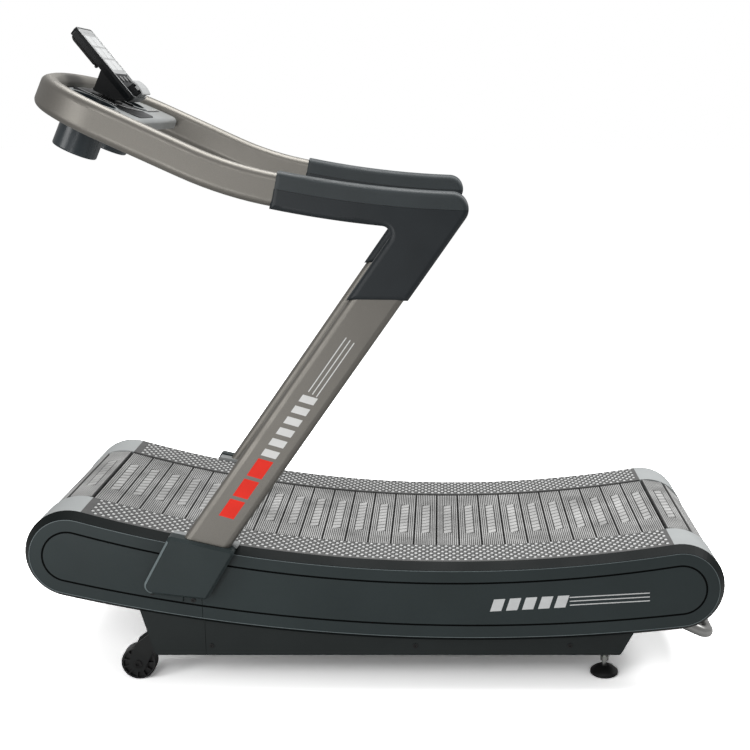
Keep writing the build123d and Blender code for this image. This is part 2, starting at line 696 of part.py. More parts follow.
def rail_sweep(path, inset):
    """Rounded rail section swept along a path, inset by a wall or grown by a negative inset."""
    start = Plane(origin=path @ 0, x_dir=(0, 1, 0), z_dir=path % 0)
    with BuildPart() as rail:
        with BuildSketch(start):
            RectangleRounded(
                RAIL_WIDTH - 2 * inset,
                RAIL_DEPTH - 2 * inset,
                RAIL_CORNER - inset,
            )
        sweep(path=path)
    return rail.part


with BuildPart() as handlebar:
    add(rail_sweep(loop_path, 0))
    add(rail_sweep(loop_path, TUBE_WALL), mode=Mode.SUBTRACT)
save(handlebar.part, "handlebar")

# ---- Posts ---------------------------------------------------------------------------------------
POST_COS = math.cos(math.radians(POST_TILT))
POST_SIN = math.sin(math.radians(POST_TILT))
POST_TOP = 1100.0
POST_COVER_CORNERS = ((-513.0, 431.0), (-347.0, 391.0), (-424.0, 262.0), (-594.0, 282.0))
POST_COVER_RADII = (10.0, 10.0, 14.0, 22.0)
POST_COVER_OUTER_Y = 402.0
POST_COVER_INNER_Y = COVER_Y + 0.3
POST_COVER_WALL = 4.0
POST_COVER_BEVEL = 7.0
LEG_GAP = 6.0
LEG_OVERLAP = 2.0
POST_DECK_GAP = 1.0


def post_plane(y):
    """Upright plane on the left side whose y axis runs up the post."""
    origin = (POST_FOOT[0], 0, POST_FOOT[1])
    return Plane(origin, x_dir=(POST_COS, 0, -POST_SIN), z_dir=(0, -1, 0)).offset(y)


def post_block(gap, corner, below):
    """Rounded bar along the post, grown by gap on every side, from a distance below its foot."""
    with BuildPart() as bar:
        with BuildSketch(post_plane(ARM_Y - POST_WIDTH / 2 - gap)):
            with Locations((0, -below)):
                Rectangle(POST_DEPTH + 2 * gap, POST_TOP + below, align=(Align.CENTER, Align.MIN))
        extrude(amount=POST_WIDTH + 2 * gap)
        post_axis = Axis((0, 0, 0), (POST_SIN, 0, POST_COS))
        fillet(bar.edges().filter_by(post_axis), radius=corner)
    return bar.part


def post_cover_face(gap):
    """Outline of the post cover, shrunk by gap."""
    with BuildSketch() as face:
        Polygon(*POST_COVER_CORNERS, align=None)
        for corner, radius in zip(POST_COVER_CORNERS, POST_COVER_RADII):
            fillet(face.vertices().sort_by_distance(corner)[0], radius=radius)
        if gap:
            offset(amount=-gap)
    return face.sketch


cover_left, cover_right = POST_COVER_CORNERS[:2]
COVER_TOP_SLOPE = math.degrees(
    math.atan2(cover_right[1] - cover_left[1], cover_right[0] - cover_left[0])
)
with BuildPart() as deck_notch:
    with BuildSketch(deck(0)):
        add(side_outline(-POST_DECK_GAP))
    extrude(amount=COVER_Y + POST_DECK_GAP)
above_rail = rail_region(-RAIL_DEPTH / 2, BEND_SLOPES[1])
with BuildPart() as post_space:
    with BuildSketch(side(0)):
        add(post_cover_face(LEG_GAP))
        with Locations(Location(cover_left, COVER_TOP_SLOPE)):
            with Locations((0, -LEG_GAP - LEG_OVERLAP)):
                Rectangle(FAR, FAR, align=(Align.CENTER, Align.MIN))
    extrude(amount=2 * ARM_Y)
with BuildPart() as post:
    add(post_block(0, POST_CORNER, POST_LEG))
    add(post_block(-POST_WALL, POST_CORNER - POST_WALL, POST_LEG), mode=Mode.SUBTRACT)
    add(deck_notch.part, mode=Mode.SUBTRACT)
    add(above_rail, mode=Mode.SUBTRACT)
    add(post_space.part, mode=Mode.INTERSECT)
save_sides(post.part, "post")

SLOT_DEPTH = 45.0
post_envelope = post_block(ELBOW_CLEARANCE, POST_CORNER + ELBOW_CLEARANCE, SLOT_DEPTH)
with BuildPart() as post_cover:
    with BuildSketch(side(POST_COVER_INNER_Y)):
        add(post_cover_face(0))
    extrude(amount=POST_COVER_OUTER_Y - POST_COVER_INNER_Y)
    chamfer(post_cover.faces().sort_by(Axis.Y)[0].edges(), length=POST_COVER_BEVEL)
    with BuildSketch(side(POST_COVER_INNER_Y)):
        add(post_cover_face(POST_COVER_WALL))
    extrude(
        amount=POST_COVER_OUTER_Y - POST_COVER_BEVEL - POST_COVER_INNER_Y,
        mode=Mode.SUBTRACT,
    )
    add(post_envelope, mode=Mode.SUBTRACT)
save(both_sides(post_cover.part), "post_covers")

COLLAR_HEIGHT = 8.0
COLLAR_FRONT = -84.0  # across the post from its middle
COLLAR_REAR = 70.0
COLLAR_INNER_Y = 336.0
COLLAR_REACH = 120.0  # along the post, past both faces of the collar
with BuildPart() as collar_length:
    with BuildSketch(post_plane(COLLAR_INNER_Y)):
        with Locations(((COLLAR_FRONT + COLLAR_REAR) / 2, 0)):
            Rectangle(COLLAR_REAR - COLLAR_FRONT, COLLAR_REACH)
    extrude(amount=COVER_Y - COLLAR_INNER_Y)
with BuildPart() as post_collar:
    with BuildSketch(deck(COLLAR_INNER_Y)):
        add(side_outline(-COLLAR_HEIGHT))
        add(side_outline(0), mode=Mode.SUBTRACT)
    extrude(amount=COVER_Y - COLLAR_INNER_Y)
    add(collar_length.part, mode=Mode.INTERSECT)
    add(post_envelope, mode=Mode.SUBTRACT)
save(both_sides(post_collar.part), "post_collars")

# ---- Elbow covers and grip pads ------------------------------------------------------------------
ELBOW_HALF_WIDTH = RAIL_WIDTH / 2 + ELBOW_PROUD
ELBOW_START_SLOPE = 11.6  # fall of the rail where the cover begins
PAD_START_SLOPE = 11.5
BORE_START_SLOPE = 15.0
BORE_END_OVERRUN = 0.05  # degrees past the end of the rail
ELBOW_REAR_GROWTH = 8.0
ELBOW_LOWER_Z = 1020.0
ELBOW_FRONT_LIFT = 2.0
ELBOW_SEARCH = 400.0
ELBOW_REAR_RADIUS = 40.0
ELBOW_INNER_RADIUS = 20.0
ELBOW_EDGE_RADIUS = 14.0
PARTING_HEIGHT = 4.0
PARTING_GAP = 0.6
PARTING_OVERRUN = 2.0  # degrees before the bend


def post_edge(across, z):
    """World x and z of the line along the post at a distance across it, at height z."""
    start = Vector(POST_FOOT[0] + across * POST_COS, POST_FOOT[1] - across * POST_SIN)
    return start + Vector(POST_SIN, POST_COS) * ((z - start.Y) / POST_COS)


def meet(across, height):
    """Corner where a line along the post meets an arc at a height over the rail centre line."""
    low, high = ELBOW_LOWER_Z, ELBOW_LOWER_Z + ELBOW_SEARCH
    radius = BEND_RADII[1] - height
    for _ in range(SEARCH_STEPS):
        middle = (low + high) / 2
        if (post_edge(across, middle) - BEND_CENTRES[1]).length > radius:
            low = middle
        else:
            high = middle
    return post_edge(across, middle)


def arc_to(start, end, radius):
    """Arc about the rail's rear bend centre from start to end."""
    centre = BEND_CENTRES[1]
    halfway = ((start + end) / 2 - centre).normalized()
    return ThreePointArc(start, centre + halfway * radius, end)


elbow_height = RAIL_DEPTH / 2 + ELBOW_PROUD
rear_across = POST_DEPTH / 2 + ELBOW_REAR_GROWTH
front_across = -POST_DEPTH / 2 - ELBOW_PROUD
top_front = rail_point(1, ELBOW_START_SLOPE, elbow_height)
top_corner = meet(rear_across, elbow_height)
lower_rear = post_edge(rear_across, ELBOW_LOWER_Z)
lower_front = post_edge(front_across, ELBOW_LOWER_Z + ELBOW_FRONT_LIFT)
inner_corner = meet(front_across, -elbow_height)
under_front = rail_point(1, ELBOW_START_SLOPE, -elbow_height)
with BuildPart() as elbow_block:
    with BuildSketch(side(ARM_Y - ELBOW_HALF_WIDTH)) as elbow_face:
        with BuildLine():
            arc_to(top_front, top_corner, BEND_RADII[1] - elbow_height)
            Polyline(top_corner, lower_rear, lower_front, inner_corner)
            arc_to(inner_corner, under_front, BEND_RADII[1] + elbow_height)
            Line(under_front, top_front)
        make_face()
        fillet(elbow_face.vertices().sort_by_distance(top_corner)[0], radius=ELBOW_REAR_RADIUS)
        fillet(elbow_face.vertices().sort_by_distance(inner_corner)[0], radius=ELBOW_INNER_RADIUS)
    extrude(amount=2 * ELBOW_HALF_WIDTH)
    fillet(
        elbow_block.faces().sort_by(Axis.Y)[0].edges()
        + elbow_block.faces().sort_by(Axis.Y)[-1].edges(),
        radius=ELBOW_EDGE_RADIUS,
    )
with BuildLine() as elbow_rail_line:
    rail_arc(1, BORE_START_SLOPE, BEND_SLOPES[2] - BORE_END_OVERRUN)
elbow_rail_path = Wire((side(ARM_Y) * elbow_rail_line.line).edges())
elbow_post = post_block(ELBOW_CLEARANCE, POST_CORNER + ELBOW_CLEARANCE, 0)
with BuildPart() as post_below_rail:
    add(elbow_post)
    add(above_rail, mode=Mode.SUBTRACT)
with BuildPart() as elbow_shell:
    add(elbow_block.part)
    add(rail_sweep(elbow_rail_path, -ELBOW_CLEARANCE), mode=Mode.SUBTRACT)
    add(post_below_rail.part, mode=Mode.SUBTRACT)


with BuildPart() as grip_pad:
    add(elbow_shell.part)
    add(rail_region(PARTING_HEIGHT + PARTING_GAP, PAD_START_SLOPE), mode=Mode.INTERSECT)
with BuildPart() as elbow_cover:
    add(elbow_shell.part)
    add(rail_region(PARTING_HEIGHT, BEND_SLOPES[1] + PARTING_OVERRUN), mode=Mode.SUBTRACT)
save(both_sides(grip_pad.part), "grip_pads")
save_sides(elbow_cover.part, "elbow_cover")

# ---- Dash tray and cup holders -------------------------------------------------------------------
TRAY_WALL = 4.0
TRAY_EDGE_WALL = 8.0
TRAY_REAR_CORNER = 30.0
TRAY_REAR_ROUND = 12.0
PANEL_FRONT = 55.0
PANEL_REAR = 236.0
PANEL_HALF_WIDTH = 86.0
PANEL_THICKNESS = 2.0
PANEL_CORNER = 20.0
CUP_RIM = 6.0
CUP_RIM_HEIGHT = 3.0
CUP_FOOT_ROUND = 5.0
cup_places = [(CUP_ALONG, -CUP_Y), (CUP_ALONG, CUP_Y)]


def tray_face(inset):
    """Plan of the dash tray between the arms of the loop, inset all round."""
    side_y = ARM_Y - RAIL_WIDTH / 2 - inset
    rear = TRAY_REAR - inset
    front_edge = loop_line(RAIL_WIDTH / 2 + inset, rear)
    with BuildSketch() as face:
        with BuildLine():
            add(front_edge)
            Line((rear, side_y), (rear, -side_y))
        make_face()
        fillet(face.vertices().group_by(Axis.X)[-1], radius=TRAY_REAR_CORNER - inset)
    return face.sketch


tray_outline = tray_face(0)
tray_cavity = tray_face(TRAY_EDGE_WALL)
with BuildPart() as dash_tray:
    with BuildSketch(LOOP.offset(TRAY_TOP - TRAY_THICKNESS)):
        add(tray_outline)
    extrude(amount=TRAY_THICKNESS)
    loop_axis = Axis(LOOP.origin, LOOP.x_dir)
    top_edges = dash_tray.faces().sort_by(Axis(LOOP.origin, LOOP.z_dir))[-1].edges()
    fillet(top_edges.sort_by(loop_axis)[-1:], radius=TRAY_REAR_ROUND)
    with BuildSketch(LOOP.offset(TRAY_TOP - TRAY_THICKNESS)):
        add(tray_cavity)
        with Locations(*cup_places):
            Circle(CUP_RADIUS + TRAY_WALL, mode=Mode.SUBTRACT)
    extrude(amount=TRAY_THICKNESS - TRAY_WALL, mode=Mode.SUBTRACT)
    with BuildSketch(LOOP.offset(TRAY_TOP - TRAY_THICKNESS)):
        with Locations(*cup_places):
            Circle(CUP_RADIUS)
    extrude(amount=TRAY_THICKNESS, mode=Mode.SUBTRACT)
save(dash_tray.part, "dash_tray")

with BuildPart() as dash_panel:
    with BuildSketch(LOOP.offset(TRAY_TOP)):
        with Locations(((PANEL_FRONT + PANEL_REAR) / 2, 0)):
            RectangleRounded(PANEL_REAR - PANEL_FRONT, 2 * PANEL_HALF_WIDTH, PANEL_CORNER)
    extrude(amount=PANEL_THICKNESS)
save(dash_panel.part, "dash_panel")

with BuildPart() as cup_holders:
    with BuildSketch(LOOP.offset(TRAY_TOP - CUP_DEPTH)):
        with Locations(*cup_places):
            Circle(CUP_RADIUS)
    extrude(amount=CUP_DEPTH)
    foot_edges = cup_holders.edges().group_by(Axis(LOOP.origin, LOOP.z_dir))[0]
    fillet(foot_edges, radius=CUP_FOOT_ROUND)
    with BuildSketch(LOOP.offset(TRAY_TOP)):
        with Locations(*cup_places):
            Circle(CUP_RADIUS + CUP_RIM)
    extrude(amount=CUP_RIM_HEIGHT)
    with BuildSketch(LOOP.offset(TRAY_TOP - CUP_DEPTH + CUP_WALL)):
        with Locations(*cup_places):
            Circle(CUP_RADIUS - CUP_WALL)
    extrude(amount=CUP_DEPTH + CUP_RIM_HEIGHT, mode=Mode.SUBTRACT)
save(cup_holders.part, "cup_holders")

# ---- Console -------------------------------------------------------------------------------------
LEAN_COS = math.cos(math.radians(CONSOLE_LEAN))
LEAN_SIN = math.sin(math.radians(CONSOLE_LEAN))
# Console plane: x is world +Y, y runs up the face, z points out of the face.
CONSOLE = Plane(
    origin=LOOP.from_local_coords((CONSOLE_BOTTOM[0], 0, CONSOLE_BOTTOM[1])),
    x_dir=(0, 1, 0),
    z_dir=(LEAN_SIN, 0, LEAN_COS),
)
PIN_CENTRE = CONSOLE.from_local_coords((0, TILT_AXIS[0], TILT_AXIS[1]))
CONSOLE_CORNER = 10.0
CONSOLE_WALL = 3.0
CONSOLE_BACK_INSET = 3.0
WEDGE_CORNERS = ((113.6, -20.2), (84.5, -76.4), (28.2, -48.0), (4.6, -20.2))
WEDGE_HALF_WIDTH = 42.0
LUG_HALF_WIDTH = 20.0
LUG_GAP = 0.5
LUG_RADIUS = 13.0
PIN_FIT = 0.05
SCREEN_CORNERS_Y = (84.0, 208.0)
SCREEN_HALF_WIDTH = 58.0
SCREEN_THICKNESS = 2.0
SCREEN_CORNER = 6.0
SHELF_BOTTOM = 2.0
SHELF_TOP = 34.0
SHELF_DEPTH = 14.0
SHELF_HALF_WIDTH = 46.0
SHELF_CORNER = 4.0
BUTTON_GAP = 0.3
BUTTON_PROUD = 2.5
BUTTON_STEM_DEPTH = 5.0
BUTTON_STOP_GAP = 0.3
BUTTON_ROUND = 1.0
back_depth = BEZEL_THICKNESS + CONSOLE_BACK_THICKNESS


def console_face(inset):
    """Rounded outline of the console, inset all round."""
    with BuildSketch() as face:
        with Locations((0, CONSOLE_HEIGHT / 2)):
            RectangleRounded(
                2 * (CONSOLE_HALF_WIDTH - inset),
                CONSOLE_HEIGHT - 2 * inset,
                CONSOLE_CORNER - inset,
            )
    return face.sketch


def console_side(y):
    """Upright plane through the console, x up the face and y out of it."""
    return Plane(CONSOLE.origin, x_dir=CONSOLE.y_dir, z_dir=(0, 1, 0)).offset(-y)


screen_middle = (0, sum(SCREEN_CORNERS_Y) / 2)
screen_height = SCREEN_CORNERS_Y[1] - SCREEN_CORNERS_Y[0]
button_places = [(x, BUTTON_HEIGHT) for x in BUTTON_XS]
with BuildPart() as console_front:
    with BuildSketch(CONSOLE.offset(-BEZEL_THICKNESS)):
        add(console_face(0))
    extrude(amount=BEZEL_THICKNESS)
    with BuildSketch(CONSOLE):
        with Locations((0, (SHELF_BOTTOM + SHELF_TOP) / 2)):
            RectangleRounded(2 * SHELF_HALF_WIDTH, SHELF_TOP - SHELF_BOTTOM, SHELF_CORNER)
    extrude(amount=SHELF_DEPTH)
    with BuildSketch(CONSOLE):
        with Locations(screen_middle):
            RectangleRounded(2 * SCREEN_HALF_WIDTH, screen_height, SCREEN_CORNER)
    extrude(amount=-SCREEN_THICKNESS, mode=Mode.SUBTRACT)
    with BuildSketch(CONSOLE):
        with Locations(*button_places):
            Circle(BUTTON_RADIUS + BUTTON_GAP)
    extrude(amount=-BUTTON_STEM_DEPTH - BUTTON_TRAVEL - BUTTON_STOP_GAP, mode=Mode.SUBTRACT)
save(console_front.part, "console_front")

with BuildPart() as console_back:
    with BuildSketch(CONSOLE.offset(-back_depth)):
        add(console_face(CONSOLE_BACK_INSET))
    with BuildSketch(CONSOLE.offset(-BEZEL_THICKNESS)):
        add(console_face(0))
    loft(ruled=True)
    with BuildSketch(CONSOLE.offset(-back_depth + CONSOLE_WALL)):
        add(console_face(CONSOLE_BACK_INSET + CONSOLE_WALL))
    with BuildSketch(CONSOLE.offset(-BEZEL_THICKNESS)):
        add(console_face(CONSOLE_WALL))
    loft(ruled=True, mode=Mode.SUBTRACT)
    with BuildSketch(console_side(0)):
        Polygon(*WEDGE_CORNERS, align=None)
    extrude(amount=WEDGE_HALF_WIDTH, both=True)
    with BuildSketch(console_side(0)):
        with Locations(TILT_AXIS):
            Circle(TILT_PIN_RADIUS + PIN_FIT)
    extrude(amount=WEDGE_HALF_WIDTH, both=True, mode=Mode.SUBTRACT)
    with BuildSketch(CONSOLE.offset(-back_depth)):
        with Locations((0, CONSOLE_HEIGHT / 2)):
            Rectangle(2 * LUG_HALF_WIDTH, CONSOLE_HEIGHT)
    extrude(amount=WEDGE_CORNERS[1][1], mode=Mode.SUBTRACT)
save(console_back.part, "console_back")

with BuildPart() as console_screen:
    with BuildSketch(CONSOLE.offset(-SCREEN_THICKNESS)):
        with Locations(screen_middle):
            RectangleRounded(2 * SCREEN_HALF_WIDTH, screen_height, SCREEN_CORNER)
    extrude(amount=SCREEN_THICKNESS)
save(console_screen.part, "console_screen")

for number, place in enumerate(button_places, start=1):
    with BuildPart() as console_button:
        with BuildSketch(CONSOLE.offset(-BUTTON_STEM_DEPTH)):
            with Locations(place):
                Circle(BUTTON_RADIUS)
        extrude(amount=BUTTON_STEM_DEPTH + BUTTON_PROUD)
        top_edge = console_button.edges().group_by(Axis(CONSOLE.origin, CONSOLE.z_dir))[-1]
        fillet(top_edge, radius=BUTTON_ROUND)
    save(console_button.part, f"console_button_{number}")

LIP_POINTS = ((42.0, 18.0), (22.0, 23.0), (-3.0, 19.0))  # up the face and out of it
LIP_THICKNESS = 3.5
LIP_HALF_WIDTH = 42.0
LIP_ROOT = (12.0, 9.0)
with BuildPart() as phone_rest:
    with BuildSketch(console_side(0)):
        with BuildLine():
            lip_arc = ThreePointArc(*LIP_POINTS)
            Line(lip_arc @ 0, lip_arc @ 0 - Vector(0, LIP_THICKNESS))
            back_arc = ThreePointArc(*[(x, y - LIP_THICKNESS) for x, y in LIP_POINTS])
            Line(lip_arc @ 1, back_arc @ 1)
        make_face()
        with Locations(((SHELF_BOTTOM + SHELF_TOP) / 2, SHELF_DEPTH)):
            Rectangle(*LIP_ROOT, align=(Align.CENTER, Align.MIN))
    extrude(amount=LIP_HALF_WIDTH, both=True)
save(phone_rest.part, "phone_rest")

PEDESTAL_FRONT = 90.0
PEDESTAL_REAR = 154.0
PEDESTAL_BASE = 4.0
pin_along, _, pin_height = LOOP.to_local_coords(PIN_CENTRE)
pedestal_floor = TRAY_TOP + PANEL_THICKNESS
lug_half_width = LUG_HALF_WIDTH - LUG_GAP
with BuildPart() as console_pedestal:
    with BuildSketch(loop_side(-lug_half_width)):
        with Locations((pin_along, pin_height)):
            Circle(LUG_RADIUS)
            Rectangle(2 * LUG_RADIUS, pin_height - pedestal_floor, align=(Align.CENTER, Align.MAX))
    extrude(amount=2 * lug_half_width)
    with BuildSketch(LOOP.offset(pedestal_floor)):
        with Locations(((PEDESTAL_FRONT + PEDESTAL_REAR) / 2, 0)):
            Rectangle(PEDESTAL_REAR - PEDESTAL_FRONT, 2 * WEDGE_HALF_WIDTH)
    extrude(amount=PEDESTAL_BASE)
    with BuildSketch(Plane(PIN_CENTRE, x_dir=(1, 0, 0), z_dir=(0, -1, 0))):
        Circle(TILT_PIN_RADIUS)
    extrude(amount=WEDGE_HALF_WIDTH, both=True, mode=Mode.SUBTRACT)
save(console_pedestal.part, "console_pedestal")

with BuildPart() as console_pin:
    with BuildSketch(Plane(PIN_CENTRE, x_dir=(1, 0, 0), z_dir=(0, -1, 0))):
        Circle(TILT_PIN_RADIUS)
    extrude(amount=WEDGE_HALF_WIDTH, both=True)
save(console_pin.part, "console_pin")

# ---- Rear handle ---------------------------------------------------------------------------------
HANDLE_RADIUS = 14.5
HANDLE_WALL = 2.5
HANDLE_Y = 293.0
HANDLE_END = (871.9, 120.0)
HANDLE_BEND = (758.0, 176.0)
HANDLE_PLATE = 6.0
HANDLE_PLATE_SIZE = 50.0
HANDLE_CORNER = 40.0
handle_foot = RIB_XS[-1] + RIB_THICKNESS / 2
handle_corners = [
    (handle_foot + HANDLE_PLATE / 2, -HANDLE_Y, HANDLE_BEND[1]),
    (HANDLE_BEND[0], -HANDLE_Y, HANDLE_BEND[1]),
    (HANDLE_END[0], -HANDLE_Y, HANDLE_END[1]),
]
with BuildLine() as handle_line:
    FilletPolyline(
        *handle_corners,
        *[(x, -y, z) for x, y, z in reversed(handle_corners)],
        radius=HANDLE_CORNER,
    )
with BuildPart() as rear_handle:
    with BuildSketch(Plane(origin=handle_line.line @ 0, z_dir=handle_line.line % 0)):
        Circle(HANDLE_RADIUS)
        Circle(HANDLE_RADIUS - HANDLE_WALL, mode=Mode.SUBTRACT)
    sweep(path=handle_line.line)
    with BuildSketch(Plane.YZ.offset(handle_foot)):
        with Locations((-HANDLE_Y, HANDLE_BEND[1]), (HANDLE_Y, HANDLE_BEND[1])):
            Rectangle(HANDLE_PLATE_SIZE, HANDLE_PLATE_SIZE)
    extrude(amount=HANDLE_PLATE)
save(rear_handle.part, "rear_handle")

# ---- Wheels --------------------------------------------------------------------------------------
EAR_THICKNESS = 5.0
EAR_GAP = 1.5
EAR_RADIUS = 22.0
EAR_FRONT = ((-21.0, 6.0), (-16.0, 31.0), (-4.0, 55.0))  # front edge, from the axle
EAR_REAR = (15.0, -16.0)  # where the rear edge leaves the ear
BRACKET_PLATE = 6.0
BRACKET_OUTER_Y = 333.0
WHEEL_ROUND = 3.0
WHEEL_SPOKES = 11
SPOKE_WIDTH = 3.0
POCKET_INNER = 25.0
POCKET_OUTER = 40.0
POCKET_DEPTH = 9.0
wheel_outer_y = WHEEL_INNER_Y + WHEEL_WIDTH
bracket_front = BASE_FRONT_X - BRACKET_PLATE
inner_ear_y = WHEEL_INNER_Y - EAR_GAP - EAR_THICKNESS
outer_ear_y = wheel_outer_y + EAR_GAP
with BuildPart() as wheel_bracket:
    for ear_y in (inner_ear_y, outer_ear_y):
        with BuildSketch(side(ear_y)):
            with Locations(WHEEL_AXLE):
                Circle(EAR_RADIUS)
            Polygon(
                *[(WHEEL_AXLE[0] + x, WHEEL_AXLE[1] + z) for x, z in EAR_FRONT],
                (bracket_front, BASE_RAIL_TOP),
                (bracket_front, BASE_RAIL_BOTTOM),
                (WHEEL_AXLE[0] + EAR_REAR[0], WHEEL_AXLE[1] + EAR_REAR[1]),
                align=None,
            )
            with Locations(WHEEL_AXLE):
                Circle(AXLE_RADIUS, mode=Mode.SUBTRACT)
        extrude(amount=EAR_THICKNESS)
    with BuildSketch(Plane.YZ.offset(bracket_front)):
        with Locations((-BRACKET_OUTER_Y, BASE_RAIL_BOTTOM)):
            Rectangle(
                BRACKET_OUTER_Y - inner_ear_y,
                BASE_RAIL_SIZE,
                align=(Align.MIN, Align.MIN),
            )
    extrude(amount=BRACKET_PLATE)
save(both_sides(wheel_bracket.part), "wheel_brackets")

BOLT_HEAD_RADIUS = 11.0
BOLT_HEAD_HEIGHT = 4.0
BOLT_SOCKET_RADIUS = 5.5
with BuildPart() as wheel_axle:
    with BuildSketch(side(inner_ear_y)):
        with Locations(WHEEL_AXLE):
            Circle(AXLE_RADIUS)
    extrude(amount=outer_ear_y + EAR_THICKNESS - inner_ear_y)
    with BuildSketch(side(outer_ear_y + EAR_THICKNESS)):
        with Locations(WHEEL_AXLE):
            Circle(BOLT_HEAD_RADIUS)
            RegularPolygon(BOLT_SOCKET_RADIUS, 6, mode=Mode.SUBTRACT)
    extrude(amount=BOLT_HEAD_HEIGHT)
    with BuildSketch(side(inner_ear_y)):
        with Locations(WHEEL_AXLE):
            RegularPolygon(BOLT_HEAD_RADIUS, 6)
    extrude(amount=-BOLT_HEAD_HEIGHT)
save(both_sides(wheel_axle.part), "wheel_axles")

with BuildPart() as wheel:
    with BuildSketch(side(WHEEL_INNER_Y)):
        with Locations(WHEEL_AXLE):
            Circle(WHEEL_RADIUS)
            Circle(AXLE_RADIUS + AXLE_FIT, mode=Mode.SUBTRACT)
    extrude(amount=WHEEL_WIDTH)
    rim_edges = wheel.edges().filter_by(
        lambda edge: edge.geom_type == GeomType.CIRCLE and edge.radius > POCKET_OUTER
    )
    fillet(rim_edges, radius=WHEEL_ROUND)
    for pocket_plane in (side(wheel_outer_y), side(WHEEL_INNER_Y + POCKET_DEPTH)):
        with BuildSketch(pocket_plane):
            with Locations(WHEEL_AXLE):
                Circle(POCKET_OUTER)
                with PolarLocations(POCKET_OUTER / 2, WHEEL_SPOKES):
                    Rectangle(POCKET_OUTER + SPOKE_WIDTH, SPOKE_WIDTH, mode=Mode.SUBTRACT)
                Circle(POCKET_INNER, mode=Mode.SUBTRACT)
        extrude(amount=-POCKET_DEPTH, mode=Mode.SUBTRACT)
save_sides(wheel.part, "wheel")

# ---- Levelling feet ------------------------------------------------------------------------------
PAD_TOP = 26.0
PAD_CHAMFER = 2.0
PAD_EDGE_TOP = 9.0
PAD_SHOULDER = (26.64, 18.0)  # from the stud axis and above the floor
PAD_NECK = 6.0  # wall round the stud
STUD_CHAMFER = 1.5
HEX_BOTTOM = 37.0
HEX_HEIGHT = 13.0
STUD_BOTTOM = 20.0
STUD_TOP = 124.0
NUT_RADIUS = 11.0
NUT_HEIGHT = 11.0
with BuildPart() as foot_pad:
    with BuildSketch(side(FOOT_Y)):
        with BuildLine():
            Polyline(
                (FOOT_X, STUD_BOTTOM),
                (FOOT_X, 0),
                (FOOT_X + PAD_RADIUS - PAD_CHAMFER, 0),
                (FOOT_X + PAD_RADIUS, PAD_CHAMFER),
                (FOOT_X + PAD_RADIUS, PAD_EDGE_TOP),
            )
            ThreePointArc(
                (FOOT_X + PAD_RADIUS, PAD_EDGE_TOP),
                (FOOT_X + PAD_SHOULDER[0], PAD_SHOULDER[1]),
                (FOOT_X + STUD_RADIUS + PAD_NECK, PAD_TOP),
            )
            Polyline(
                (FOOT_X + STUD_RADIUS + PAD_NECK, PAD_TOP),
                (FOOT_X + STUD_RADIUS, PAD_TOP),
                (FOOT_X + STUD_RADIUS, STUD_BOTTOM),
                (FOOT_X, STUD_BOTTOM),
            )
        make_face()
    revolve(axis=Axis((FOOT_X, -FOOT_Y, 0), (0, 0, 1)))
save_sides(foot_pad.part, "foot_pad")

with BuildPart() as foot_stud:
    with BuildSketch(Plane.XY.offset(STUD_BOTTOM)):
        with Locations((FOOT_X, -FOOT_Y)):
            Circle(STUD_RADIUS)
    extrude(amount=STUD_TOP - STUD_BOTTOM)
    chamfer(foot_stud.edges().group_by(Axis.Z)[-1], length=STUD_CHAMFER)
    with BuildSketch(Plane.XY.offset(HEX_BOTTOM)):
        with Locations((FOOT_X, -FOOT_Y)):
            RegularPolygon(NUT_RADIUS, 6)
    extrude(amount=HEX_HEIGHT)
save_sides(foot_stud.part, "foot_stud")

with BuildPart() as lock_nut:
    with BuildSketch(Plane.XY.offset(CHANNEL_BOTTOM)):
        with Locations((FOOT_X, -FOOT_Y)):
            RegularPolygon(NUT_RADIUS, 6)
            Circle(STUD_RADIUS + STUD_FIT, mode=Mode.SUBTRACT)
    extrude(amount=-NUT_HEIGHT)
save(both_sides(lock_nut.part), "lock_nuts")

# ---- Screws --------------------------------------------------------------------------------------
def screws(places, seat_y, shank_length):
    """Button-head screws on the left side, with hexagon sockets."""
    with BuildPart() as group:
        with BuildSketch(side(seat_y)):
            with Locations(*places):
                Circle(SCREW_RADIUS)
        extrude(amount=-shank_length)
        with BuildSketch(side(seat_y)):
            with Locations(*places):
                Circle(SCREW_HEAD_RADIUS)
                RegularPolygon(SCREW_RADIUS, 6, mode=Mode.SUBTRACT)
        extrude(amount=SCREW_HEAD_HEIGHT)
    return group.part


rail_outer_y = BASE_RAIL_Y + BASE_RAIL_SIZE / 2
with BuildPart() as cover_screws:
    add(screws(skirt_screw_places, SKIRT_OUTER_Y, SKIRT_OUTER_Y - rail_outer_y))
    add(screws(COVER_SCREW_PLACES, COVER_Y, COVER_WALL))
    mirror(about=Plane.XZ)
save(cover_screws.part, "cover_screws")
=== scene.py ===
"""Looks of the curved manual treadmill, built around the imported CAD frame. Everything is in metres."""

import json
import math

